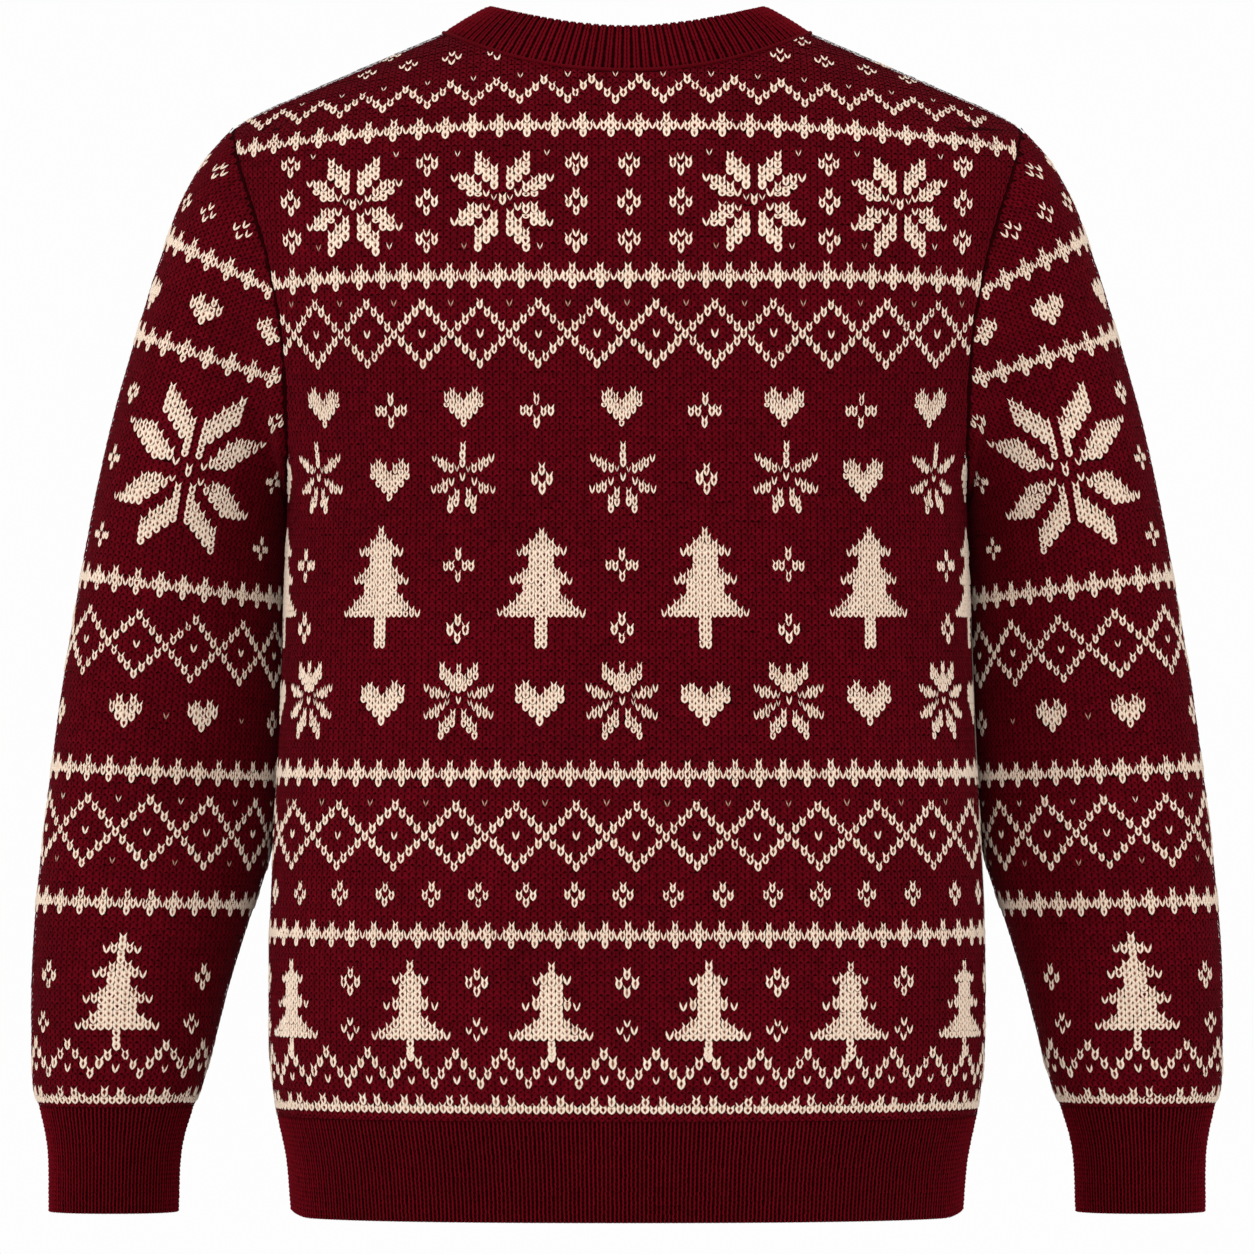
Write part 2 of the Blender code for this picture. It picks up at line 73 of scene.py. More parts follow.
ARMHOLE_TABLE = (
    # height, half width of the body at the seam
    (-0.2700, 0.1958),
    (-0.2320, 0.1949),
    (-0.2008, 0.1955),
    (-0.1731, 0.1976),
    (-0.1483, 0.2020),
    (-0.1252, 0.2071),
    (-0.1039, 0.2135),
    (-0.0790, 0.2216),
    (-0.0545, 0.2273),
)
BACK_NECK_DROP, FRONT_NECK_DROP = 0.0240, 0.0850
BACK_NECK_POWER, FRONT_NECK_POWER = 2.2, 2.3
BAND_RISE_BACK, BAND_LEAN_BACK = 0.0272, 0.0170
BAND_RISE_SIDE, BAND_LEAN_SIDE = 0.0162, 0.0270
BAND_RISE_FRONT, BAND_LEAN_FRONT = 0.0265, 0.0130
BAND_SIDE_POWER = 3
SLEEVE_TABLE = (
    # outer_x, outer_z, outer_y, inner_x, inner_z, inner_y, half_depth
    (0.2273, -0.0545, 0.000, 0.1958, -0.2700, 0.000, 0.0660),
    (0.2437, -0.0733, 0.000, 0.1975, -0.2730, 0.014, 0.0685),
    (0.2568, -0.0964, 0.000, 0.1952, -0.2760, 0.033, 0.0705),
    (0.2695, -0.1310, 0.001, 0.1948, -0.2795, 0.039, 0.0720),
    (0.2839, -0.1771, 0.002, 0.1948, -0.2840, 0.043, 0.0735),
    (0.2970, -0.2233, 0.004, 0.1948, -0.2895, 0.046, 0.0740),
    (0.3064, -0.2648, 0.006, 0.1950, -0.2970, 0.049, 0.0735),
    (0.3179, -0.3272, 0.009, 0.1958, -0.3450, 0.053, 0.0700),
    (0.3274, -0.3849, 0.012, 0.1968, -0.3960, 0.055, 0.0655),
    (0.3336, -0.4310, 0.014, 0.2008, -0.4390, 0.052, 0.0620),
    (0.3390, -0.4772, 0.016, 0.2088, -0.4820, 0.044, 0.0585),
    (0.3424, -0.5118, 0.017, 0.2198, -0.5150, 0.036, 0.0555),
    (0.3443, -0.5464, 0.018, 0.2298, -0.5480, 0.028, 0.0530),
    (0.3445, -0.5753, 0.019, 0.2370, -0.5760, 0.024, 0.0505),
    (0.3441, -0.5984, 0.020, 0.2428, -0.5984, 0.022, 0.0480),
    (0.3432, -0.6111, 0.020, 0.2468, -0.6111, 0.021, 0.0455),
    (0.3400, -0.6192, 0.020, 0.2506, -0.6192, 0.021, 0.0425),
)
SLEEVE_SQUARENESS = 2.15
HEAD_BOW_SHARES = (1.0, 0.62, 0.34, 0.14, 0.04) + (0.0,) * 12
CUFF_TABLE = (
    # height, outer_x, inner_x, half_depth
    (-0.6192, 0.3400, 0.2506, 0.0425),
    (-0.6387, 0.3358, 0.2565, 0.0385),
    (-0.6808, 0.3344, 0.2596, 0.0360),
)
CUFF_Y = 0.0205
HEM_RIBS, CUFF_RIBS, BAND_RIBS = 212, 56, 122
RIB_ROW = 0.0026
HEM_CORNER_LIFT, HEM_CORNER_START = 0.0035, 0.94
OVAL_STEPS, ARC_STEPS = 2880, 48
ARC_DEPTH, ARC_HALF_WIDTH = 0.122, 0.235
TINY = 1e-9

# ---------------------------------------------------------------------------
# Gauge of the knitting
# ---------------------------------------------------------------------------

STITCH, ROW = 0.004262, 0.004149
BODY_COLUMNS, BODY_ROWS = 61, 168
SLEEVE_COLUMNS, SLEEVE_ROWS = 54, 142
UNDERARM_ROW = 85.3
GATHER_ROW = 7.0
SHOULDER_TIP_ROWS = (138.0, 141.5)
COURSE_SLOPES = (
    # outer height on a sleeve, how far its rows of stitches fall towards the body
    (-0.6192, 0.000),
    (-0.5000, 0.025),
    (-0.4200, 0.050),
    (-0.3130, 0.120),
    (-0.2580, 0.170),
    (-0.1780, 0.250),
    (-0.1180, 0.460),
    (-0.0545, 0.650),
)
LINE_ABOVE_TIP, LINE_POINTS, HALVINGS = 0.04, 400, 22
SHELL_DEPTH, SHELL_INNER_DEPTH = 0.0010, 0.0030
YARN_SEED, RIB_SEED = 7, 31
SHADE_MIDDLE, SHADE_SPREAD = 0.5, 0.22


def smooth_column(table, column):
    """A smooth curve through one column of a table, read against its first column."""
    rows = np.array(table, dtype=float)
    knots, values = rows[:, 0], rows[:, column]
    steps = np.diff(knots)
    slopes = np.diff(values) / steps
    tangents = np.empty_like(values)
    before, after = slopes[:-1] * steps[1:], slopes[1:] * steps[:-1]
    tangents[1:-1] = (before + after) / (steps[:-1] + steps[1:])
    tangents[0], tangents[-1] = slopes[0], slopes[-1]

    def read(at):
        at = np.clip(np.asarray(at, dtype=float), knots[0], knots[-1])
        index = np.clip(np.searchsorted(knots, at) - 1, 0, len(steps) - 1)
        width = steps[index]
        t = (at - knots[index]) / width
        start, end = values[index], values[index + 1]
        leave, arrive = width * tangents[index], width * tangents[index + 1]
        first = (2 * t**3 - 3 * t**2 + 1) * start + (t**3 - 2 * t**2 + t) * leave
        return first + ((3 * t**2 - 2 * t**3) * end + (t**3 - t**2) * arrive)

    return read


body_half_width = smooth_column(BODY_TABLE, 1)
back_depth = smooth_column(BODY_TABLE, 2)
front_depth = smooth_column(BODY_TABLE, 3)
armhole_half_width = smooth_column(ARMHOLE_TABLE, 1)


def panel_depth(side):
    return back_depth if side < 0 else front_depth


def unit(vectors):
    return vectors / np.maximum(np.linalg.norm(vectors, axis=-1, keepdims=True), TINY**2)


def signed_power(value, power):
    return np.sign(value) * np.abs(value) ** power


def shoulder_height(x):
    x = np.abs(x)
    past_bend = np.clip((x - SHOULDER_BEND) / (TIP_HALF_WIDTH - SHOULDER_BEND), 0, None)
    slope = -SHOULDER_SLOPE * (x - NECK_HALF_WIDTH) - TIP_EXTRA_FALL * past_bend**2
    arch = SHOULDER_SLOPE / (2 * NECK_HALF_WIDTH) * (NECK_HALF_WIDTH**2 - x**2)
    return np.where(x < NECK_HALF_WIDTH, arch, slope)


def rounding_reach(x):
    narrowing = (np.abs(x) / TIP_HALF_WIDTH) ** ROUND_OVER_POWER
    return ROUND_OVER_CENTRE - (ROUND_OVER_CENTRE - ROUND_OVER_TIP) * narrowing


def round_over(x, z):
    below = np.clip((shoulder_height(x) - z) / rounding_reach(x), 0, 1)
    return np.sqrt(1 - (1 - below) ** 2)


def armhole_angle(z):
    tip = float(shoulder_height(TIP_HALF_WIDTH))
    middle = (tip + UNDERARM) / 2
    return np.arccos(np.clip((z - middle) / (tip - middle), -1, 1))


def torso_half_width(z, depth):
    z = np.asarray(z, dtype=float)
    seam_x = armhole_half_width(z)
    angle = armhole_angle(z)
    power = np.where(np.cos(angle) < 0, ARMHOLE_POINT, 1.0)
    seam_depth = ARMHOLE_HALF_DEPTH * np.sin(angle) ** power
    full_depth = depth(z) * np.maximum(round_over(seam_x, z), TINY)
    share = np.clip(seam_depth / full_depth, 0, MOST_SEAM_SHARE)
    widened = seam_x / (1 - share**BODY_SQUARENESS) ** (1 / BODY_SQUARENESS)
    return np.where(z <= UNDERARM, body_half_width(z), widened)


def torso_depth(x, z, depth):
    share = np.clip(np.abs(x) / torso_half_width(z, depth), 0, 1)
    return depth(z) * (1 - share**BODY_SQUARENESS) ** (1 / BODY_SQUARENESS) * round_over(x, z)


def neckline_height(x, side):
    drop = BACK_NECK_DROP if side < 0 else FRONT_NECK_DROP
    power = BACK_NECK_POWER if side < 0 else FRONT_NECK_POWER
    return -drop * (1 - (np.abs(x) / NECK_HALF_WIDTH) ** power)


def run_along(points):
    """Distance along a line of points from its first."""
    return np.concatenate([[0], np.cumsum(np.linalg.norm(np.diff(points, axis=0), axis=1))])


def grid_normals(points, closed=False):
    """Normals of a grid of points, rows by columns."""
    if closed:
        around = np.roll(points, -1, axis=1) - np.roll(points, 1, axis=1)
    else:
        around = np.gradient(points, axis=1)
    return unit(np.cross(around, np.gradient(points, axis=0)))


def panel_face(side, neck_columns, shoulder_columns, body_rows, yoke_rows, cut_neck):
    """Outer face of a panel, from the hem seam up; side is -1 at the back, 1 in front."""
    depth = panel_depth(side)
    neck_x = NECK_HALF_WIDTH * np.sin(np.linspace(0, math.pi / 2, neck_columns + 1)[:-1])
    shoulder_x = np.linspace(NECK_HALF_WIDTH, TIP_HALF_WIDTH, shoulder_columns + 1)
    top_x = np.concatenate([neck_x, shoulder_x])
    top_z = shoulder_height(top_x)
    if cut_neck:
        top_z[:neck_columns] = neckline_height(neck_x, side)
    columns = len(top_x)
    share = np.linspace(0, 1, columns)
    turn = signed_power(np.sin(share * math.pi / 2), 2 / BODY_SQUARENESS)
    rows = []
    for height in np.linspace(HEM_SEAM, UNDERARM, body_rows + 1)[:-1]:
        x, z = float(body_half_width(height)) * turn, np.full(columns, height)
        rows.append(np.stack([x, torso_depth(x, z, depth), z], 1))
    start_x = float(body_half_width(UNDERARM)) * turn
    for step in range(yoke_rows + 1):
        up = (1 - math.cos(math.pi * step / yoke_rows)) / 2
        z = UNDERARM + (top_z - UNDERARM) * up
        x = start_x * (1 - up) + top_x * up
        x = x + (float(armhole_half_width(z[-1])) - x[-1]) * share**3
        rows.append(np.stack([x, torso_depth(x, z, depth), z], 1))
    half = np.array(rows)
    half[-1, neck_columns:, 1] = 0
    half[: body_rows + 1, -1, 1] = 0
    face = np.concatenate([half[:, :0:-1] * np.array([-1, 1, 1]), half], axis=1)
    return face * np.array([1, side, 1])


def body_course(points):
    """Rows of knitting between the hem seam and places on a panel, over the rounded shoulder."""
    x, z = points[..., 0], points[..., 2]
    top, reach = shoulder_height(x), rounding_reach(x)
    narrowing = np.clip(1 - (np.abs(x) / ARC_HALF_WIDTH) ** BODY_SQUARENESS, 0, 1)
    flat = ARC_DEPTH * narrowing ** (1 / BODY_SQUARENESS)
    start = np.arccos(1 - np.clip((top - z) / reach, 0, 1))
    left_to_go = math.pi / 2 - start
    arc = np.zeros_like(z)
    for step in range(ARC_STEPS):
        angle = start + left_to_go * (step + 0.5) / ARC_STEPS
        arc += np.hypot(reach * np.sin(angle), flat * np.cos(angle)) * left_to_go / ARC_STEPS
    return (np.minimum(z, top - reach) - HEM_SEAM + arc) / ROW


def sleeve_sections():
    """Distance down the sleeve's outer line at each row of its table, and curves of the
    table's columns, and of the share of the bow, against it."""
    table = np.array(SLEEVE_TABLE)
    run = np.concatenate([[0], np.cumsum(np.hypot(np.diff(table[:, 0]), np.diff(table[:, 1])))])
    keyed = np.column_stack([run, table, np.array(HEAD_BOW_SHARES)])
    return run, [smooth_column(keyed, column) for column in range(1, keyed.shape[1])]


def sleeve_face(side, rings, steps):
    """Outer face of a sleeve, from its cuff seam up to the armhole; each ring runs from the
    inner line by the front and the outer line to the back and the inner line again."""
    run, curves = sleeve_sections()
    at = np.linspace(0, run[-1], rings)
    ox, oz, oy, ix, iz, iy, half_depth, bow = [curve(at)[:, None] for curve in curves]
    angles = np.linspace(-math.pi, math.pi, steps)
    across = signed_power(np.cos(angles), 2 / SLEEVE_SQUARENESS)[None]
    deep = signed_power(np.sin(angles), 2 / SLEEVE_SQUARENESS)[None]
    tip = float(shoulder_height(TIP_HALF_WIDTH))
    middle = (tip + UNDERARM) / 2
    seam_z = middle + (tip - middle) * np.cos(angles)
    seam_x = armhole_half_width(seam_z)
    back_y = -torso_depth(seam_x, seam_z, back_depth)
    front_y = torso_depth(seam_x, seam_z, front_depth)
    seam_y = np.where(angles >= 0, back_y, front_y)
    tip_z, (under_x, under_z) = SLEEVE_TABLE[0][1], SLEEVE_TABLE[0][3:5]
    straight = under_x + (TIP_HALF_WIDTH - under_x) * (seam_z - under_z) / (tip_z - under_z)
    x = (ox + ix) / 2 + across * (ox - ix) / 2 + bow * (seam_x - straight)[None]
    y = (oy + iy) / 2 + across * (oy - iy) / 2 - deep * half_depth
    z = (oz + iz) / 2 + across * (oz - iz) / 2
    face = np.stack([x, y, z], 2)
    blend = np.clip(1 - at / run[1], 0, 1)[:, None, None]
    seam = np.stack([seam_x, seam_y, seam_z], 1)
    face = face + (seam - face[0])[None] * (blend**2 * (3 - 2 * blend))
    return face[::-1] * np.array([side, 1, 1])


def sleeve_course(points):
    """Rows of knitting between the cuff seam and places on a sleeve, whose rows lie aslant."""
    run, curves = sleeve_sections()
    down = np.linspace(-LINE_ABOVE_TIP, run[-1], LINE_POINTS)
    outer_x, outer_z = curves[0](down), curves[1](down)
    above = down < 0
    outer_z[above] -= down[above]
    slant = smooth_column(COURSE_SLOPES, 1)(outer_z)
    rows = (run[-1] - down) / ROW
    x, z = np.abs(points[..., 0]), points[..., 2]
    low, high = np.zeros(x.shape), np.full(x.shape, len(down) - 1.0)
    index = np.arange(len(down))
    for _ in range(HALVINGS):
        middle = (low + high) / 2
        ox, oz = np.interp(middle, index, outer_x), np.interp(middle, index, outer_z)
        over = oz - np.interp(middle, index, slant) * (ox - x) > z
        low, high = np.where(over, middle, low), np.where(over, high, middle)
    return np.interp((low + high) / 2, index, rows)


def oval_ring(count, centre, half_x, half_back, half_front, squareness):
    """Points evenly turned round a rounded oval, from +X by the back, with their normals."""
    fine = 2 * np.pi * np.arange(OVAL_STEPS + 1) / OVAL_STEPS
    curve_x = half_x * signed_power(np.cos(fine), 2 / squareness)
    curve_y = signed_power(np.sin(fine), 2 / squareness)
    curve_y = -np.where(curve_y > 0, half_back * curve_y, half_front * curve_y)
    run = np.concatenate([[0], np.cumsum(np.hypot(np.diff(curve_x), np.diff(curve_y)))])
    at = run[-1] * np.arange(count) / count
    points = np.stack([np.interp(at, run, curve_x), np.interp(at, run, curve_y)], 1)
    tangent = np.roll(points, -1, axis=0) - np.roll(points, 1, axis=0)
    normal = unit(np.stack([-tangent[:, 1], tangent[:, 0]], 1))
    normal[np.sum(normal * points, axis=1) < 0] *= -1
    return points + np.array(centre), normal


# ---------------------------------------------------------------------------
# Knitted faces: a grid of half columns and half rows to place stitches on
# ---------------------------------------------------------------------------


def face_turn(points, normals):
    """1 where a grid's faces turn outward in the order of its columns and rows, else -1."""
    row, column = points.shape[0] // 2, points.shape[1] // 2
    here = points[row, column]
    turn = np.cross(points[row, column + 1] - here, points[row + 1, column] - here)
    return 1 if np.dot(turn, normals[row, column]) > 0 else -1


def edge_at(values, at, first, step):
    return np.interp((at - first) / step, np.arange(len(values)), values)


class KnitFace:
    """Points and outward directions on an even grid of columns and rows of stitches."""

    STEP = 0.5

    def __init__(self, points, normals, first_column, closed, column_step=STEP, row_step=STEP):
        self.data = np.concatenate([points, normals], axis=2)
        self.first_column = first_column
        self.closed = closed
        self.column_step, self.row_step = column_step, row_step
        self.left = self.right = self.top = None
        self.outward = face_turn(points, normals)

    def limit(self, left, right, top):
        """Where the face ends: its first and last column at each half row, its last row at
        each half column."""
        self.left, self.right, self.top = left, right, top

    def holds(self, columns, rows, margin, over_top=0.0):
        """Which stitches lie on the face, or reach over its top edge by less than over_top."""
        if self.left is None:
            return np.full(len(columns), True)
        middle = rows + 1.0
        inside = columns > edge_at(self.left, middle, 0, self.row_step) + margin
        inside &= columns < edge_at(self.right, middle, 0, self.row_step) - margin
        top = edge_at(self.top, columns, self.first_column, self.column_step)
        return inside & (middle < top - margin + over_top)

    def at(self, columns, rows, height):
        """Places that stand a height over the face at fractions of columns and rows."""
        if self.left is not None:
            top = edge_at(self.top, columns, self.first_column, self.column_step)
            rows = np.clip(rows, 0, top)
            left = edge_at(self.left, rows, 0, self.row_step)
            right = edge_at(self.right, rows, 0, self.row_step)
            columns = np.clip(columns, left, right)
        across = (columns - self.first_column) / self.column_step
        up = np.clip(rows / self.row_step, 0, self.data.shape[0] - 1.001)
        count = self.data.shape[1]
        if not self.closed:
            across = np.clip(across, 0, count - 1.001)
        first = np.floor(across).astype(int)
        part = (across - first)[..., None]
        first, second = first % count, (first + 1) % count
        low = np.floor(up).astype(int)
        rise = (up - low)[..., None]
        lower = self.data[low, first] * (1 - part) + self.data[low, second] * part
        upper = self.data[low + 1, first] * (1 - part) + self.data[low + 1, second] * part
        here = lower * (1 - rise) + upper * rise
        return here[..., :3] + unit(here[..., 3:]) * np.asarray(height)[..., None]


def course_lines(data, courses, rows):
    """Where each row of knitting crosses each column of a grid."""
    lines = np.empty((len(rows), *data.shape[1:]))
    for column in range(data.shape[1]):
        order = np.argsort(courses[:, column])
        known = courses[order, column]
        for part in range(data.shape[2]):
            values = data[order, column, part]
            lines[:, column, part] = np.interp(rows, known, values, right=np.nan)
    return lines


def course_arcs(lines, middle):
    """The unbroken part of each line round its middle, with the distances from there."""
    arcs = []
    for line in lines:
        known = ~np.isnan(line[:, 0])
        if not known[middle]:
            arcs.append(arcs[-1])
            continue
        gaps = np.flatnonzero(~known)
        low = gaps[gaps < middle].max(initial=-1) + 1
        high = gaps[gaps > middle].min(initial=len(known))
        piece = line[low:high]
        run = run_along(piece[:, :3])
        arcs.append((piece, run - run[middle - low]))
    return arcs


def stitched_face(
    points, normals, courses, most_columns, most_rows, widen_below, neckline=None, even_rows=None
):
    """A KnitFace over a grid of points whose rows of knitting are known. Below one row the
    stitches' width follows the face's. Rows between the two even_rows are spread evenly."""
    data = np.concatenate([points, normals], axis=2)
    rows = np.arange(0, most_rows + 1.01, KnitFace.STEP)
    columns = np.arange(-most_columns, most_columns + 0.01, KnitFace.STEP)
    arcs = course_arcs(course_lines(data, courses, rows), points.shape[1] // 2)
    grid = np.empty((len(rows), len(columns), data.shape[2]))
    reach = np.array([(run[0], run[-1]) for _, run in arcs])
    at_limit = np.interp(widen_below, rows, reach[:, 1])
    widths = np.where(rows < widen_below, STITCH * reach[:, 1] / at_limit, STITCH)
    for row, (piece, run) in enumerate(arcs):
        for part in range(data.shape[2]):
            grid[row, :, part] = np.interp(columns * widths[row], run, piece[:, part])
    if even_rows is not None:
        first, last = (int(row / KnitFace.STEP) for row in even_rows)
        for row in range(first + 1, last):
            part = (row - first) / (last - first)
            grid[row] = grid[first] * (1 - part) + grid[last] * part
            reach[row] = reach[first] * (1 - part) + reach[last] * part
    face = KnitFace(grid[..., :3], grid[..., 3:], -most_columns, closed=False)
    left, right = reach[:, 0] / widths, reach[:, 1] / widths
    top = np.empty(len(columns))
    for column, at in enumerate(columns):
        here = (left <= at) & (right >= at)
        if neckline is not None:
            x, z = grid[:, column, 0], grid[:, column, 2]
            here &= (np.abs(x) >= NECK_HALF_WIDTH) | (z <= neckline(x))
        top[column] = rows[here].max(initial=0)
    face.limit(left, right, top)
    return face


# ---------------------------------------------------------------------------
# Motifs. Each part is a column aside of the middle, on both sides alike, the row of its lowest
# point, and the row that its tips reach, or s for one short stitch, v for a thin one and g for
# one that barely shows.
# ---------------------------------------------------------------------------

LEG_ROWS, TIP_REACH, STACK_STEP = 2.06, 1.75, 0.93
TIP_FALL, TIER_GAP = 0.8, 0.7

HEART = ((0, 0, 4.7), (1, 1.18, 5.57), (2, 2.03, 6.32), (3, 3.1, 5.67))
STAR = (
    (0, 6.3, 8.05), (1, 6.8, "v"), (1, 2.05, 5.83), (2, 1.05, 4.72), (3, 0, 3.61), (2, 5.5, "s"),
    (3, 4.5, 6.73), (4, 3.45, 6.84), (5, 3.45, 5.83), (6, 3.45, "s"), (2, 7.46, "s"),
    (3, 7.5, 9.7), (4, 7.5, 10.6), (5, 8.44, 10.78), (6, 9.55, "s"), (1, 8.44, 12.07),
    (2, 9.5, 13.07), (3, 10.5, 14),
)
FLAKE = (
    (0, 4.8, "s"), (0, 6.4, 10.8), (1, 1.67, 4.35), (1, 6.6, 9.3), (2, 0.92, 3.4), (2, 7.45, 10),
    (3, 0, 2.63), (3, 8.2, 10.8), (2, 4.5, "v"), (2.8, 4, "s"), (3.8, 3, 5.1), (4.8, 2.85, 4.6),
    (5.8, 2.78, "s"), (2, 5.55, "v"), (2.8, 5.65, "s"), (3.8, 5.6, 7.45), (4.8, 5.7, 7.5),
    (5.8, 6.5, "s"),
)
SMALL_FLAKE = (
    (0, 4.4, "s"), (0, 6.3, 10), (1, 0.9, 3.7), (2, 0, 2.7), (2, 3.8, "s"), (3.1, 2.8, 4.7),
    (4.1, 2.7, 4.3), (5.2, 2.7, "s"), (1, 5.5, "v"), (2, 5.5, 7), (3.1, 5.7, 7.8), (4, 6.3, 7.8),
    (5, 7, "s"),
)
FLOWER = ((0, 0, 1.6), (1, 1, 2.6), (0, 2.05, 3.65))
FULL_FLOWER = ((0, 0, 1.95), (0, 2.15, "s"), (1, 1.05, 2.8))
WIDE_FLOWER = ((0, 0, 1.9), (1, 1.65, 3.3), (2, 1.65, 3.3), (0, 3.1, 5.1))
BUD = ((0, 0, "s"), (1, 0.95, "s"), (0, 1.9, "s"))
SMALL_HEART = ((0, 0, 3.9), (1, 1, 4.9), (2, 2, 4.2))
# Single stitches round each star of the yoke: how far aside, the row and the kind.
BESIDE_STAR = ((-6.0, 133.0, "v"), (6.0, 133.0, "v"), (5.1, 119.5, "v"), (-5.1, 119.5, "g"))
# Each tier of a tree: half its width, and the row that it starts at.
BODY_TIERS = ((5, 0), (3.3, 4.13), (2, 7.6))
FIR_TIERS = ((6.5, 0), (4.5, 4.46), (3.5, 8.37))
SLEEVE_TIERS = ((5, 0), (4, 3.71), (3, 7.31), (2, 10.8))
GREAT_STAR = (
    (0, 10.3, 12.4), (1, 3.7, 9.6), (2, 2.8, 7.2), (1, 13, 19), (2, 15.4, 20), (3, 1.9, 6.2),
    (4, 0.95, 5.3), (5, 0, 4.2), (3, 16.4, 21), (4, 17.4, 22), (5, 18.4, 23), (3, 8.2, 10),
    (4, 7.3, 10.4), (5, 6.4, 10.4), (6, 5.4, 10.2), (7, 5.4, 9.2), (8, 5.4, 8.2), (9, 5.4, 7.2),
    (10, 5.6, "s"), (2, 9.4, "s"), (2, 11.6, "s"), (3, 12, 14), (4, 12, 15.2), (5, 12, 16.4),
    (6, 12.6, 17.2), (7, 13.6, 17.2), (8, 14.4, 17.2), (9, 15.2, 17.2), (10, 16.2, "s"),
)


class Chart:
    """A knitting chart: each cream stitch's column, the row of its lowest point, its width
    and length, and its kind."""

    def __init__(self):
        self.stitches = []

    def add(self, column, row, kind="X", wide=1.0, long=0.85):
        self.stitches.append((column, row, wide, long, kind))

    def stack(self, column, low, top, wide=1.0):
        """Linked stitches of one column, from the lowest point to the tips of the last."""
        links = round((top - low - TIP_REACH) / STACK_STEP)
        if links < 1:
            self.add(column, low, "X", wide, (top - low) / LEG_ROWS)
            return
        step = (top - TIP_REACH - low) / links
        for link in range(links):
            self.add(column, low + link * step, "L", wide, step)
        self.add(column, top - TIP_REACH, "X", wide)

    def draw(self, motif, column, row, wide=1.0, high=1.0):
        """Draws a motif with its middle on a column and its lowest stitches on a row."""
        for aside, low, top in motif:
            for place in sorted({-aside, aside}):
                here = column + place * wide
                if isinstance(top, str):
                    self.add(here, row + low * high, top, wide)
                else:
                    self.stack(here, row + low * high, row + top * high, wide)

    def draw_each(self, motif, columns, row, wide=1.0, high=1.0):
        for column in columns:
            self.draw(motif, column, row, wide, high)

    def dots(self, first, pitch, steps, row, kind):
        """Single stitches a pitch apart in one row."""
        for step in steps:
            self.add(first + step * pitch, row, kind)

    def tree(self, column, row, tiers, top, trunk, wide, lean=0.0):
        """A tree of tiers, each half as wide as it says and starting at its row, on a trunk."""
        even = tiers[0][0] % 1
        for step in range(int(tiers[0][0]) + 1):
            aside = step + even
            spans = []
            for half, low in tiers:
                tip = low + TIP_REACH + TIP_FALL * (half - 1 - aside)
                if abs(aside - half) < 0.5:
                    self.lean_pair(column, row, half, low, "s", wide, lean)
                elif aside < half and spans and low - spans[-1][1] < TIER_GAP:
                    spans[-1][1] = max(tip, spans[-1][1])
                elif aside < half:
                    spans.append([low, tip])
            if step == 0:
                spans = [[-trunk, top - 0.9 * even * 2]]
            for low, tip in spans:
                self.lean_pair(column, row, aside, low, tip, wide, lean)
        if even:
            self.stack(column + lean * top, row + top - TIP_REACH, row + top, wide)

    def lean_pair(self, column, row, aside, low, top, wide, lean):
        """A stack or a single stitch on both sides of a tree's middle, which may lean."""
        for place in sorted({-aside, aside}):
            here = column + place * wide + lean * low
            if isinstance(top, str):
                self.add(here, row + low, top, wide)
                continue
            first = len(self.stitches)
            self.stack(here, row + low, row + top, wide)
            for number in range(first, len(self.stitches)):
                other, *rest = self.stitches[number]
                self.stitches[number] = (other + lean * (rest[0] - row - low), *rest)

    def beads(self, row, centres, high=1.0, bend=None):
        """A band of beads: a tall stack with a stitch on each side and a short one between."""
        for centre, beyond in zip(centres[:-1], centres[1:]):
            wide = (beyond - centre) / 4
            sink = bend(centre) if bend else 0
            self.stack(centre, row - sink, row - sink + 3.9 * high, wide * 1.06)
            for aside in (-1, 1):
                self.add(centre + aside * wide, row - sink + high, "X", wide * 1.06, 0.9)
            self.add(centre + 2 * wide, row - sink + 1.15 * high, "s", wide * 1.06)

    def diamonds(self, row, first, pitch, high=1.0, spread=0.0, reach=62, long=0.8):
        """A lattice of diamonds, each eight stitches wide, with a dot in its middle."""
        steps = int(reach // pitch) + 1
        for step in range(-steps, steps + 1):
            centre = first + step * pitch
            for aside in range(-4, 4):
                column = centre + aside * pitch / 8
                wide = pitch / 8 * (1 + 3 * spread * column**2)
                column *= 1 + spread * column**2
                rise = 4 - abs(aside)
                for up in sorted({-rise, rise}):
                    self.add(column, row + (4 + up) * high, "X", wide, long)
            self.add(centre * (1 + spread * centre**2), row + 4.15 * high, "s", pitch / 8)

    def zigzag(self, peaks, row, step, long=0.9, bend=None):
        """A zigzag line three stitches deep between neighbouring peaks."""
        for left, right in zip(peaks[:-1], peaks[1:]):
            wide = (right - left) / 6
            for aside in range(6):
                column = left + aside * wide
                sink = bend(column) if bend else 0
                up = 3 - min(aside, 6 - aside)
                self.add(column, row - sink + up * step, "X", wide, long)

    def teeth(self, peaks, row):
        """A full row of stitches with a taller one on each side of a zigzag's peak."""
        for left, right in zip(peaks[:-1], peaks[1:]):
            wide = (right - left) / 6
            for aside in range(6):
                away = min(aside, 6 - aside)
                column = left + aside * wide
                if away == 1:
                    self.stack(column, row, row + 2.65, wide)
                else:
                    self.add(column, row, "X", wide, 0.8 if away == 2 else 0.66)


def both_sides(columns):
    return sorted({side * column for column in columns for side in (-1, 1)})


def spaced(first, pitch, spread=0.0, reach=62):
    """Columns a pitch apart on both sides of the first, which draws out a little by spread."""
    steps = int(reach // pitch) + 1
    even = [first + step * pitch for step in range(-steps, steps + 1)]
    return [column * (1 + spread * column**2) for column in even]


def moved(columns, aside):
    return [column + aside for column in columns]


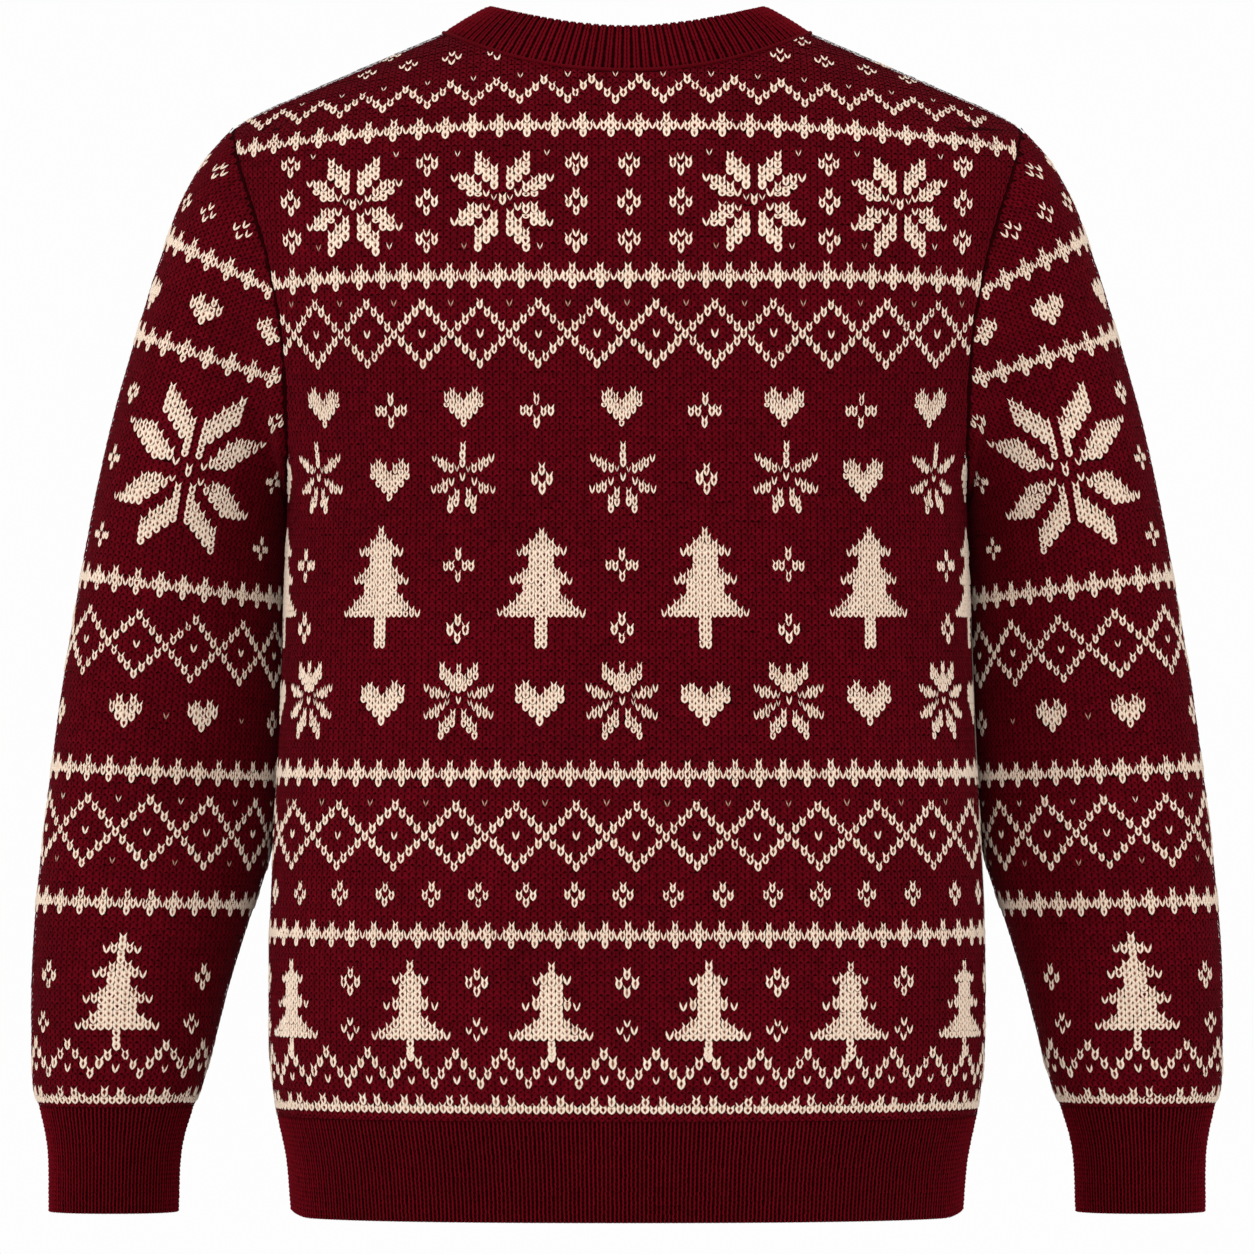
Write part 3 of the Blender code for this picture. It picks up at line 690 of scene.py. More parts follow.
def yoke_bend(column):
    """How far the highest band sinks towards the armholes."""
    return 1.75 * min(abs(column) / 49, 1.15) ** 4


def body_chart():
    chart = Chart()
    peaks = [-61.1, -54.6, -47.8, -40.6, -34.1, -28.1, -22.0, -15.8, -9.5, -2.9, 3.7, 10.3]
    peaks += [17.1, 23.3, 29.3, 35.1, 41.4, 48.6, 55.4, 61.9]
    chart.teeth(moved(peaks, -0.2), 1.0)
    chart.zigzag(peaks, 4.4, 1.33)
    for peak in peaks:
        chart.add(peak, 5.0, "s")
    for column in (-47.4, -28.0, -9.6, 10.4, 28.9, 47.9):
        chart.tree(column, 11.05, BODY_TIERS, 11.06, 2.9, 0.985)
    flowers = both_sides((0, 19.2, 36.6, 56.5))
    chart.draw_each(FLOWER, flowers, 17.0, 1.03, 1.17)
    chart.draw_each(BUD, flowers, 10.9, 0.95, 1.05)
    chart.beads(23.7, spaced(0.18, 2.97, 2.2e-5), 0.98)
    small = [-53.6, -45.9, -38.5, -31.7, -25.3, -19.1, -12.9, -6.7, -0.5, 5.9, 12.3, 18.7]
    small += [25.0, 31.4, 38.3, 46.1, 53.5]
    chart.draw_each(FLOWER, small, 29.3, 0.9, 1.0)
    chart.diamonds(34.25, 1.22, 7.74, 1.03, 3.3e-5)
    chart.dots(-2.65, 7.9, range(-8, 8), 43.0, "g")
    chart.beads(45.8, spaced(1.69, 3.07, 3.4e-5))
    chart.draw_each(FLAKE, (-45.9, -22.3, -0.65, 21.4, 45.5), 52.3, 0.755)
    chart.draw_each(HEART, (-56.9, -33.1, -11.45, 10.35, 32.7, 56.3), 54.2, 0.927)
    for column in (-56.0, -33.6, -11.35, 10.35, 33.0, 55.3):
        chart.tree(column, 69.1, FIR_TIERS, 12.6, 4.3, 0.84)
    between = (-47.5, -22.5, -0.65, 21.5, 47.0)
    chart.draw_each(WIDE_FLOWER, between, 73.9, 0.88, 0.95)
    chart.draw_each(FLOWER, between, 65.4, 1.05, 1.2)
    chart.draw_each(SMALL_FLAKE, (-44.8, -22.1, -0.55, 21.4, 44.6), 83.35, 0.79, 1.0)
    chart.draw_each(HEART, (-55.8, -32.6, 32.4, 55.5), 85.0, 0.85, 0.97)
    chart.draw_each(FLOWER, (-11.35, 10.6), 85.9, 1.0, 1.25)
    chart.draw_each(HEART, (-42.8, -21.95, -0.7, 21.1, 42.8), 95.2, 0.78, 0.88)
    chart.draw_each(WIDE_FLOWER, (-32.2, -12.05, 10.4, 31.9), 95.0, 0.93, 1.0)
    chart.diamonds(103.2, 3.88, 7.86, 1.015)
    chart.dots(0, 7.86, range(-7, 8), 111.6, "g")
    small_yoke = [-57.6, -54.0, -50.4, -46.85, -43.25, -39.9, -36.35, -33.0, -30.0, -26.9]
    small_yoke += [-23.75, -20.5, -17.3, -14.1, -10.7, -7.3, -3.6, 0.1, 3.7, 7.2, 10.5, 13.6]
    small_yoke += [16.9, 20.2, 23.5, 26.8, 30.0, 33.1, 36.2, 39.6, 43.0, 46.5, 50.1, 53.7, 57.3]
    chart.beads(114.2, small_yoke, 0.97, lambda column: 0.7 * (abs(column) / 47) ** 5)
    for column in (-37.2, -16.7, 17.0, 37.1):
        chart.draw(STAR, column, 118.7 if abs(column) > 20 else 119.3, 1.07, 1.05)
        for aside, row, kind in BESIDE_STAR:
            chart.add(column + aside, row, kind)
    sprigs = (-46.6, -26.9, -6.8, 0.3, 7.2, 27.2, 46.6)
    chart.draw_each(FULL_FLOWER, sprigs, 119.1, 1.03, 1.08)
    chart.draw_each(FLOWER, sprigs, 124.5, 1.03, 1.12)
    chart.draw_each(FULL_FLOWER, sprigs, 130.2, 1.03, 1.08)
    chart.beads(136.0, spaced(1.57, 3.74, -1.0e-5), bend=yoke_bend)
    top_peaks = [1.65 + 6.4 * step for step in range(-9, 9)]
    chart.zigzag(top_peaks, 141.2, 1.08, 0.86, yoke_bend)
    for peak in top_peaks:
        chart.add(peak + 3.2, 145.4 - yoke_bend(peak + 3.2), "v")
    chart.draw_each(BUD, moved(both_sides((6.4, 12.8, 19.2, 25.6, 32.0, 38.4)), 1.65), 149.2)
    chart.draw_each(BUD, moved(both_sides((9.6, 22.4, 35.2)), 1.65), 154.0)
    return chart.stitches


def sleeve_chart():
    chart = Chart()
    peaks = [18.5 + 6.95 * step for step in range(-10, 6)]
    chart.teeth(peaks, 0.5)
    chart.zigzag(peaks, 4.2, 1.3)
    for peak in peaks:
        chart.add(peak, 5.0, "s")
    chart.tree(18.6, 11.0, SLEEVE_TIERS, 13.8, 2.8, 1.07, 0.042)
    chart.tree(-18.2, 11.0, SLEEVE_TIERS, 13.8, 2.8, 1.07, -0.042)
    chart.draw_each(FLOWER, (8.2, 31.3, -6.0, -30.0, 43.0), 16.6, 1.0, 1.1)
    chart.draw_each(BUD, (7.0, 29.6, -7.2, -31.0, 43.5), 10.4, 0.95, 1.0)
    chart.beads(27.1, spaced(19.2, 3.22))
    chart.diamonds(33.7, 12.4, 8.55, 1.13)
    chart.dots(8.1, 8.55, range(-6, 5), 42.9, "v")
    chart.dots(8.1, 8.55, range(-6, 5), 34.2, "g")
    chart.beads(45.8, spaced(18.1, 3.13))
    chart.draw_each(SMALL_HEART, (16.4, 27.3, -16.0, -27.0), 53.6, 0.94, 1.0)
    chart.draw_each(FLOWER, (4.4, 41.0, -4.6), 53.5, 0.95, 1.1)
    for column in (22.0, 33.8, -10.0, -21.6):
        chart.add(column, 55.0, "g")
    chart.diamonds(60.7, 9.2, 7.9, 1.06)
    chart.beads(72.6, spaced(19.5, 3.2))
    for middle, side in ((21.1, 1), (-20.6, -1)):
        chart.draw(GREAT_STAR, middle, 79.8, 0.99, 1.03)
        for column, row in ((9.2, 78.7), (35.5, 79.9), (35.4, 90.2), (8.5, 89.6)):
            chart.draw(WIDE_FLOWER, middle + side * (column - 21.1), row, 0.7, 0.72)
        for column, row in ((9.4, 99.0), (32.2, 98.8)):
            chart.draw(FULL_FLOWER, middle + side * (column - 21.1), row, 0.9, 1.0)
    chart.beads(106.1, spaced(19.5, 3.2), bend=lambda column: 0.065 * (column - 20.3))
    chart.draw_each(SMALL_HEART, (17.1, 27.0, 6.0, -6.0, -17.1, -28.0), 112.6, 0.94, 1.0)
    chart.beads(120.5, spaced(18.5, 3.2), bend=lambda column: 0.04 * (column - 17.0))
    chart.draw_each(BUD, (6.0, 12.0, 18.0, 0.0, -6.0, -12.0, -18.0), 127.0)
    chart.draw_each(BUD, (9.0, 3.0, -3.0, -9.0), 133.0)
    return chart.stitches


# ---------------------------------------------------------------------------
# Stitches as meshes
# ---------------------------------------------------------------------------

MM = 0.001
# Legs of a V: (column, row, height in mm, tone) of each corner, then the triangles between them,
# for the right-hand leg. A tone under 1 paints shade on a corner, lowest at the hollows between
# the strands. A column and a row are 1 wide and 1 high.
LONG_LEG = (
    (
        (0.015, 0, 0, 0.9), (0, 0.3, 0.1, 0.8), (0.16, 0.3, 0.55, 1), (0.315, 0.34, -0.12, 0.85),
        (0.12, 0.85, -0.55, 0.3), (0.3, 0.85, 0.58, 1), (0.475, 0.86, -0.2, 0.8),
        (0, 1.36, 0, 0.75), (0.17, 1.4, 0.5, 1), (0.37, 1.42, -0.15, 0.85),
        (0.46, 2.06, 0.05, 0.9),
    ),
    (
        (0, 2, 1), (0, 3, 2), (1, 2, 5), (1, 5, 4), (2, 3, 6), (2, 6, 5), (4, 5, 8), (4, 8, 7),
        (5, 6, 9), (5, 9, 8), (7, 8, 10), (8, 9, 10),
    ),
)
LINK_LEG = (
    (
        (0, 0, 0.15, 0.95), (0, 0.24, 0.2, 0.85), (0.19, 0.2, 0.55, 1),
        (0.355, 0.22, -0.15, 0.65), (0.125, 0.6, -0.5, 0.25), (0.3, 0.6, 0.6, 1),
        (0.5, 0.6, 0.05, 0.85), (0, 0.97, 0.1, 0.8), (0.3, 1, 0.48, 1), (0.5, 0.94, 0, 0.8),
        (0.4, 1.32, -0.4, 0.45),
    ),
    LONG_LEG[1],
)
SHORT_LEG = (
    (
        (0.015, 0, 0, 0.9), (0, 0.27, 0.1, 0.8), (0.165, 0.27, 0.52, 1),
        (0.32, 0.31, -0.12, 0.85), (0.14, 0.74, -0.3, 0.55), (0.3, 0.74, 0.56, 1),
        (0.465, 0.76, -0.15, 0.85), (0.44, 1.26, 0, 0.9),
    ),
    ((0, 2, 1), (0, 3, 2), (1, 2, 5), (1, 5, 4), (2, 3, 6), (2, 6, 5), (4, 5, 7), (5, 6, 7)),
)
PLAIN_LEG = (
    (
        (0, -0.04, 0.14, 0.95), (0.505, 0.34, 0.08, 1), (0.505, 0.92, -0.08, 0.8),
        (0, 1.1, -0.3, 0.65), (0.1, 0.58, -0.3, 0.35),
    ),
    ((0, 1, 4), (4, 1, 2), (4, 2, 3)),
)
THIN_LEG = (
    (
        (0.01, 0.15, 0.42, 1), (0.1, 0.62, 0.3, 0.9), (0.195, 0.6, 0.62, 1),
        (0.29, 0.64, 0.25, 0.9), (0.38, 1.15, 0.3, 1),
    ),
    ((0, 2, 1), (0, 3, 2), (1, 2, 4), (2, 3, 4)),
)
RIB_LEG = (
    (
        (0.06, 0, -0.3, 0.35), (0.13, 0.6, -0.5, 0.15), (0.245, 0.5, 0.35, 1),
        (0.375, 0.15, -0.45, 0.25), (0.395, 0.95, -0.45, 0.25), (0.215, 1.5, -0.15, 0.75),
    ),
    ((0, 2, 1), (0, 3, 2), (2, 3, 4), (2, 4, 5), (1, 2, 5)),
)
BAND_LEG = (
    (
        (0.03, 0, -0.1, 0.6), (0.045, 0.6, -0.2, 0.5), (0.19, 0.5, 0.35, 1),
        (0.35, 0.15, -0.45, 0.35), (0.37, 0.95, -0.45, 0.35), (0.17, 1.5, -0.05, 0.8),
    ),
    RIB_LEG[1],
)
# A sheet behind each cream stitch, all in the cream yarn's colour between the strands: partly the
# burgundy yarn carried behind, partly painted shade.
BACKING = (
    (
        (-0.33, 0.3, -0.9, 0), (0.33, 0.3, -0.9, 0), (0.33, 1.25, -0.9, 0),
        (-0.33, 1.25, -0.9, 0),
    ),
    ((0, 1, 2), (0, 2, 3)),
)
PLAIN_WIDE, PLAIN_HIGH = 0.947, 0.890
FIRST_PLAIN_ROW = -0.60
WANDER_ACROSS, WANDER_UP, WANDER_OUT, WANDER_SIZE = 0.028, 0.040, 0.00009, 0.045


def v_shape(leg):
    """Both legs of a V, from the right-hand one."""
    corners, triangles = leg
    left = tuple((-corner[0],) + corner[1:] for corner in corners)
    count = len(corners)
    turned = tuple((a + count, c + count, b + count) for a, b, c in triangles)
    return corners + left, triangles + turned


def make_mesh(name, points, faces, uv=None, flat_uv=None, shades=None, tones_and_painted_shade=None):
    """A mesh from arrays of points and of faces with the same number of corners each. The
    two layouts are given for each point, or for each corner of each face."""
    faces = np.asarray(faces, dtype=np.int32)
    mesh = bpy.data.meshes.new(name)
    mesh.vertices.add(len(points))
    mesh.vertices.foreach_set("co", np.asarray(points, dtype=np.float32).ravel())
    mesh.loops.add(faces.size)
    mesh.loops.foreach_set("vertex_index", faces.ravel())
    mesh.polygons.add(len(faces))
    starts = np.arange(0, faces.size, faces.shape[1], dtype=np.int32)
    mesh.polygons.foreach_set("loop_start", starts)
    mesh.update(calc_edges=True)
    for layer_name, values in (("OFBake", flat_uv), ("knit", uv)):
        if values is None:
            continue
        values = np.asarray(values, dtype=np.float32)
        corners = values if values.ndim == 3 else values[faces]
        layer = mesh.uv_layers.new(name=layer_name)
        layer.data.foreach_set("uv", corners.ravel())
    for attribute_name, values in (("shade", shades), ("tone_and_painted_shade", tones_and_painted_shade)):
        if values is not None:
            attribute = mesh.attributes.new(attribute_name, "FLOAT", "POINT")
            attribute.data.foreach_set("value", np.asarray(values, dtype=np.float32))
    mesh.shade_smooth()
    mesh.validate()
    return mesh


class StitchPile:
    """Collects stitches of several kinds on one knitted face into one mesh."""

    def __init__(self, face, seed, across, up):
        self.face = face
        self.random = np.random.default_rng(seed)
        self.across, self.up = across, up
        self.points, self.faces, self.uv, self.shades, self.tones_and_painted_shade = [], [], [], [], []
        self.count = 0

    def add(self, shape, places, tone_and_painted_shade, wander=1.0):
        """A stitch of the shape at each place: a column, a row, a width and a length."""
        places = np.asarray(places, dtype=float).reshape(-1, 4)
        if not len(places):
            return
        corners, triangles = np.array(shape[0]), np.array(shape[1])
        if self.face.outward < 0:
            triangles = triangles[:, ::-1]
        number = len(places)
        spread = self.random.normal(size=(5, number, 1)) * wander
        size = 1 + WANDER_SIZE * spread[3]
        columns = places[:, :1] + WANDER_ACROSS * spread[0]
        columns = columns + corners[None, :, 0] * size * places[:, 2:3]
        rows = places[:, 1:2] + WANDER_UP * spread[1]
        rows = rows + corners[None, :, 1] * size * places[:, 3:4]
        height = corners[None, :, 2] * MM + WANDER_OUT * spread[2]
        shade = np.clip(SHADE_MIDDLE + SHADE_SPREAD * spread[4], 0, 1)
        points = self.face.at(columns, rows, height)
        self.points.append(points.reshape(-1, 3))
        base = self.count + np.arange(number)[:, None, None] * len(corners)
        self.faces.append((triangles[None] + base).reshape(-1, 3))
        self.uv.append(np.stack([columns, rows], axis=-1).reshape(-1, 2))
        self.shades.append(np.repeat(shade, len(corners), axis=1).ravel())
        self.tones_and_painted_shade.append(np.tile(corners[:, 3] * tone_and_painted_shade, number))
        self.count += number * len(corners)

    def mesh(self, name):
        uv = np.concatenate(self.uv)
        flat = np.stack([(uv[:, 0] + self.across / 2) / self.across, uv[:, 1] / self.up], axis=1)
        parts = (self.points, self.faces, self.shades, self.tones_and_painted_shade)
        points, faces, shades, tones_and_painted_shade = (np.concatenate(part) for part in parts)
        return make_mesh(name, points, faces, uv, np.clip(flat, 0.001, 0.999), shades, tones_and_painted_shade)


# ---------------------------------------------------------------------------
# Materials
# ---------------------------------------------------------------------------


WOOL_ROUGHNESS, GROUND_ROUGHNESS, GROUND_SHEEN = 0.85, 0.95, 0.05
SHEEN_ROUGHNESS, SPECULAR = 0.45, 0.03
BLOTCH_SHARE, SHADE_SHARE, FIBRE_SHARE = 0.55, 0.45, 0.5
PLY_TURNS, PLY_SLANT, FIBRE_HEIGHT = 3.0, 0.8, 0.8
PURL_SHIFT, PURL_LEAST = 0.12, 0.3
YARN_BUMP, YARN_BUMP_STRENGTH = 0.00025, 0.5
PURL_BUMP, PURL_BUMP_STRENGTH = 0.0006, 0.8
WOOLS = (
    # name, darker dye, lighter dye, painted shade between the strands (on cream, the burgundy yarn
    # carried behind mixed with painted shade), sheen and its tint
    ("burgundy_wool", (0.052, 0.0002, 0.0018, 1), (0.155, 0.0017, 0.0078, 1),
     (0.018, 0.0001, 0.0008, 1), 0.12, (0.75, 0.06, 0.09, 1)),
    ("rib_wool", (0.080, 0.0003, 0.0025, 1), (0.200, 0.0020, 0.0090, 1),
     (0.012, 0.0001, 0.0005, 1), 0.10, (0.75, 0.06, 0.09, 1)),
    ("cream_wool", (0.72, 0.56, 0.425, 1), (0.88, 0.745, 0.61, 1),
     (0.270, 0.085, 0.045, 1), 0.20, (1, 0.95, 0.9, 1)),
)
GROUNDS = (
    # name, darker dye, lighter dye, both near black: painted shade for the holes between the
    # stitches
    ("knit_ground_painted_shade", (0.012, 0.0001, 0.0006, 1), (0.030, 0.0004, 0.0015, 1)),
    ("rib_ground_painted_shade", (0.010, 0.0001, 0.0006, 1), (0.022, 0.0003, 0.0012, 1)),
)
GROUND_TINT = (0.4, 0.02, 0.03, 1)
FLOOR_COLOUR, FLOOR_ROUGHNESS = (0.88, 0.88, 0.88, 1), 0.9


def new_group(name, inputs, outputs):
    """A shader node group with its inputs and outputs, and its two end nodes."""
    group = bpy.data.node_groups.new(name, "ShaderNodeTree")
    for socket_name, kind, default in inputs:
        socket = group.interface.new_socket(name=socket_name, in_out="INPUT", socket_type=kind)
        if default is not None:
            socket.default_value = default
    for socket_name, kind in outputs:
        group.interface.new_socket(name=socket_name, in_out="OUTPUT", socket_type=kind)
    return group, group.nodes.new("NodeGroupInput"), group.nodes.new("NodeGroupOutput")


def feed(tree, socket, value):
    """Gives a socket a value of its own, or another node's output."""
    if isinstance(value, (int, float, tuple)):
        socket.default_value = value
    else:
        tree.links.new(value, socket)


def add_math(tree, operation, *values):
    node = tree.nodes.new("ShaderNodeMath")
    node.operation = operation
    for socket, value in zip(node.inputs, values):
        feed(tree, socket, value)
    return node.outputs[0]


def add_noise(tree, vector, scale, detail, roughness):
    node = tree.nodes.new("ShaderNodeTexNoise")
    node.inputs["Detail"].default_value = detail
    node.inputs["Roughness"].default_value = roughness
    feed(tree, node.inputs["Vector"], vector)
    feed(tree, node.inputs["Scale"], scale)
    return node.outputs["Fac"]


def add_mix(tree, factor, first, second):
    node = tree.nodes.new("ShaderNodeMix")
    node.data_type = "RGBA"
    for number, value in ((0, factor), (6, first), (7, second)):
        feed(tree, node.inputs[number], value)
    return node.outputs[2]


def make_uneven_dye():
    """Soft blotches of lighter and darker dye, and the heather of single fibres."""
    group, ends, out = new_group(
        "uneven_dye",
        (
            ("Place", "NodeSocketVector", None),
            ("Blotch Scale", "NodeSocketFloat", 14.0),
            ("Fibre Scale", "NodeSocketFloat", 900.0),
        ),
        (("Blotch", "NodeSocketFloat"), ("Fibre", "NodeSocketFloat")),
    )
    blotch = add_noise(group, ends.outputs["Place"], ends.outputs["Blotch Scale"], 3.0, 0.6)
    fibre = add_noise(group, ends.outputs["Place"], ends.outputs["Fibre Scale"], 2.0, 0.7)
    group.links.new(blotch, out.inputs["Blotch"])
    group.links.new(fibre, out.inputs["Fibre"])
    return group


def make_yarn_twist():
    """Height of the plies that wind round each leg of a stitch."""
    group, ends, out = new_group(
        "yarn_twist",
        (("Stitch Place", "NodeSocketVector", None), ("Turns", "NodeSocketFloat", 4.0)),
        (("Height", "NodeSocketFloat"),),
    )
    apart = group.nodes.new("ShaderNodeSeparateXYZ")
    group.links.new(ends.outputs["Stitch Place"], apart.inputs[0])
    slant = add_math(group, "MULTIPLY", apart.outputs["X"], PLY_SLANT)
    aslant = add_math(group, "ADD", apart.outputs["Y"], slant)
    turned = add_math(group, "MULTIPLY", aslant, ends.outputs["Turns"])
    wave = add_math(group, "SINE", add_math(group, "MULTIPLY", turned, 2 * math.pi))
    group.links.new(add_math(group, "MULTIPLY_ADD", wave, 0.5), out.inputs["Height"])
    return group


def make_purl_bumps():
    """Rows of rounded bumps, as the inside of stocking stitch shows them."""
    group, ends, out = new_group(
        "purl_bumps",
        (("Stitch Place", "NodeSocketVector", None),),
        (("Height", "NodeSocketFloat"),),
    )
    apart = group.nodes.new("ShaderNodeSeparateXYZ")
    group.links.new(ends.outputs["Stitch Place"], apart.inputs[0])
    across = add_math(group, "SINE", add_math(group, "MULTIPLY", apart.outputs["X"], 2 * math.pi))
    shift = add_math(group, "MULTIPLY", across, PURL_SHIFT)
    shifted = add_math(group, "ADD", apart.outputs["Y"], shift)
    up = add_math(group, "SINE", add_math(group, "MULTIPLY", shifted, 2 * math.pi))
    arch = add_math(group, "ADD", add_math(group, "ABSOLUTE", across), PURL_LEAST)
    height = add_math(group, "MULTIPLY", add_math(group, "ADD", up, 1.0), arch)
    group.links.new(height, out.inputs["Height"])
    return group


def place_group(tree, group, **values):
    node = tree.nodes.new("ShaderNodeGroup")
    node.node_tree = group
    for name, value in values.items():
        feed(tree, node.inputs[name.replace("_", " ")], value)
    return node


def start_wool(name, roughness, sheen, sheen_tint):
    material = bpy.data.materials.new(name)
    material.use_nodes = True
    tree = material.node_tree
    shader = tree.nodes["Principled BSDF"]
    shader.inputs["Roughness"].default_value = roughness
    shader.inputs["Sheen Weight"].default_value = sheen
    shader.inputs["Sheen Roughness"].default_value = SHEEN_ROUGHNESS
    shader.inputs["Sheen Tint"].default_value = sheen_tint
    shader.inputs["Specular IOR Level"].default_value = SPECULAR
    place = tree.nodes.new("ShaderNodeTexCoord").outputs["Object"]
    knit = tree.nodes.new("ShaderNodeUVMap")
    knit.uv_map = "knit"
    return material, tree, shader, place, knit.outputs["UV"]


def read_attribute(tree, name):
    node = tree.nodes.new("ShaderNodeAttribute")
    node.attribute_name = name
    return node.outputs["Fac"]


def set_bump(tree, shader, height, distance, strength):
    bump = tree.nodes.new("ShaderNodeBump")
    bump.inputs["Distance"].default_value = distance
    bump.inputs["Strength"].default_value = strength
    tree.links.new(height, bump.inputs["Height"])
    tree.links.new(bump.outputs["Normal"], shader.inputs["Normal"])


def between(tree, value, low, high):
    """A value from 0 to 1 carried to the range from low to high."""
    node = tree.nodes.new("ShaderNodeMapRange")
    node.inputs["To Min"].default_value = low
    node.inputs["To Max"].default_value = high
    tree.links.new(value, node.inputs["Value"])
    return node.outputs["Result"]


def make_wool(groups, name, dark, light, under, sheen, sheen_tint):
    """Yarn: two depths of its dye, and a painted shade colour that it mixes towards where its tone
    falls, at the hollows between the strands.
    """
    material, tree, shader, place, knit = start_wool(name, WOOL_ROUGHNESS, sheen, sheen_tint)
    dye = place_group(tree, groups["uneven_dye"], Place=place)
    blotch = add_math(tree, "MULTIPLY", dye.outputs["Blotch"], BLOTCH_SHARE)
    shade = add_math(tree, "MULTIPLY", read_attribute(tree, "shade"), SHADE_SHARE)
    fibre = add_math(tree, "SUBTRACT", dye.outputs["Fibre"], 0.5)
    fibre = add_math(tree, "MULTIPLY", fibre, FIBRE_SHARE)
    depth = add_math(tree, "ADD", add_math(tree, "ADD", blotch, shade), fibre)
    colour = add_mix(tree, depth, dark, light)
    # Painted shade: a low tone, given to the corners at the hollows between the strands, mixes the
    # yarn towards the painted shade colour.
    colour = add_mix(tree, read_attribute(tree, "tone_and_painted_shade"), under, colour)
    tree.links.new(colour, shader.inputs["Base Color"])
    twist = place_group(tree, groups["yarn_twist"], Stitch_Place=knit, Turns=PLY_TURNS)
    fuzz = add_math(tree, "MULTIPLY", dye.outputs["Fibre"], FIBRE_HEIGHT)
    height = add_math(tree, "ADD", twist.outputs["Height"], fuzz)
    set_bump(tree, shader, height, YARN_BUMP, YARN_BUMP_STRENGTH)
    return material


def make_ground(groups, name, dark, light):
    """The cloth between and behind the stitches, with purl bumps on it, coloured near black as
    painted shade in the holes between the stitches.
    """
    material, tree, shader, place, knit = start_wool(
        name, GROUND_ROUGHNESS, GROUND_SHEEN, GROUND_TINT
    )
    dye = place_group(tree, groups["uneven_dye"], Place=place)
    tree.links.new(add_mix(tree, dye.outputs["Blotch"], dark, light), shader.inputs["Base Color"])
    bumps = place_group(tree, groups["purl_bumps"], Stitch_Place=knit)
    set_bump(tree, shader, bumps.outputs["Height"], PURL_BUMP, PURL_BUMP_STRENGTH)
    return material


def make_floor_material():
    material = bpy.data.materials.new("pale_floor")
    material.use_nodes = True
    shader = material.node_tree.nodes["Principled BSDF"]
    shader.inputs["Base Color"].default_value = FLOOR_COLOUR
    shader.inputs["Roughness"].default_value = FLOOR_ROUGHNESS
    return material


def make_materials():
    groups = {
        "uneven_dye": make_uneven_dye(),
        "yarn_twist": make_yarn_twist(),
        "purl_bumps": make_purl_bumps(),
    }
    made = [make_wool(groups, *wool) for wool in WOOLS]
    made += [make_ground(groups, *ground) for ground in GROUNDS]
    return {material.name: material for material in made + [make_floor_material()]}


# ---------------------------------------------------------------------------
# Pieces
# ---------------------------------------------------------------------------


def add_piece(mesh, material):
    mesh.materials.append(material)
    obj = bpy.data.objects.new(mesh.name, mesh)
    bpy.context.scene.collection.objects.link(obj)
    return obj


def grid_faces(rows, columns, flip=False):
    """Corner numbers of the faces between the points of a grid."""
    corner = (np.arange(rows - 1)[:, None] * columns + np.arange(columns - 1)[None]).ravel()
    faces = np.stack([corner, corner + 1, corner + columns + 1, corner + columns], axis=1)
    return faces[:, ::-1] if flip else faces


def wrapped_faces(rows, columns, closed_rows, flip):
    """Faces of a grid that closes on itself, and each face's corners on the same grid with
    its first column, and row where it closes too, laid out a second time."""
    laid = grid_faces(rows + 1 if closed_rows else rows, columns + 1, flip=flip)
    row, column = np.divmod(laid, columns + 1)
    return (row % rows) * columns + column % columns, laid


# Flat layout of a shell: its outside fills the left half and its inside the right half, each
# with a margin, and the strips that shut its lower and upper edges lie in the margins.
FLAT_FROM, FLAT_TO, FLAT_END = 0.01, 0.49, 0.999
STRIP_LEVELS, STRIP_SPREAD = (0.004, 0.996), 1.006


def shell_mesh(name, points, normals, knit_uv):
    """A thin wall under a grid of points, shut along its edges."""
    rows, columns = points.shape[:2]
    outward = face_turn(points, normals)
    inner = (points - normals * SHELL_INNER_DEPTH)[:, ::-1]
    around = np.concatenate([points - normals * SHELL_DEPTH, inner], axis=1)
    uv = np.concatenate([knit_uv, knit_uv[:, ::-1], knit_uv[:, :1]], axis=1).reshape(-1, 2)
    share_u = np.linspace(FLAT_FROM, FLAT_TO, columns)
    flat_u = np.concatenate([share_u, share_u + 0.5, [FLAT_END]])
    flat_v = np.linspace(FLAT_FROM, 1 - FLAT_FROM, rows)
    flat = np.stack(np.meshgrid(flat_u, flat_v), axis=-1).reshape(-1, 2)
    faces, laid = wrapped_faces(rows, 2 * columns, False, outward < 0)
    all_faces, uv_corners, flat_corners = [faces], [uv[laid]], [flat[laid]]
    column = np.arange(columns - 1)
    pair = np.stack([column, column + 1, column + 1, column], 1)
    for row, level in zip((0, rows - 1), STRIP_LEVELS):
        start = row * 2 * columns
        last = start + 2 * columns - 1
        strip = np.stack([start + column, start + column + 1, last - column - 1, last - column], 1)
        far = 0.5 + (level - 0.5) * STRIP_SPREAD
        corner_u = pair * (FLAT_TO - FLAT_FROM) / (columns - 1) + FLAT_FROM
        corner_v = np.broadcast_to([level, level, far, far], corner_u.shape)
        strip_flat = np.stack([corner_u, corner_v], axis=-1)
        strip_uv = knit_uv[row][pair]
        if (row == 0) == (outward > 0):
            strip, strip_flat, strip_uv = strip[:, ::-1], strip_flat[:, ::-1], strip_uv[:, ::-1]
        all_faces.append(strip)
        uv_corners.append(strip_uv)
        flat_corners.append(strip_flat)
    return make_mesh(
        name,
        around.reshape(-1, 3),
        np.concatenate(all_faces),
        np.concatenate(uv_corners),
        np.concatenate(flat_corners),
    )


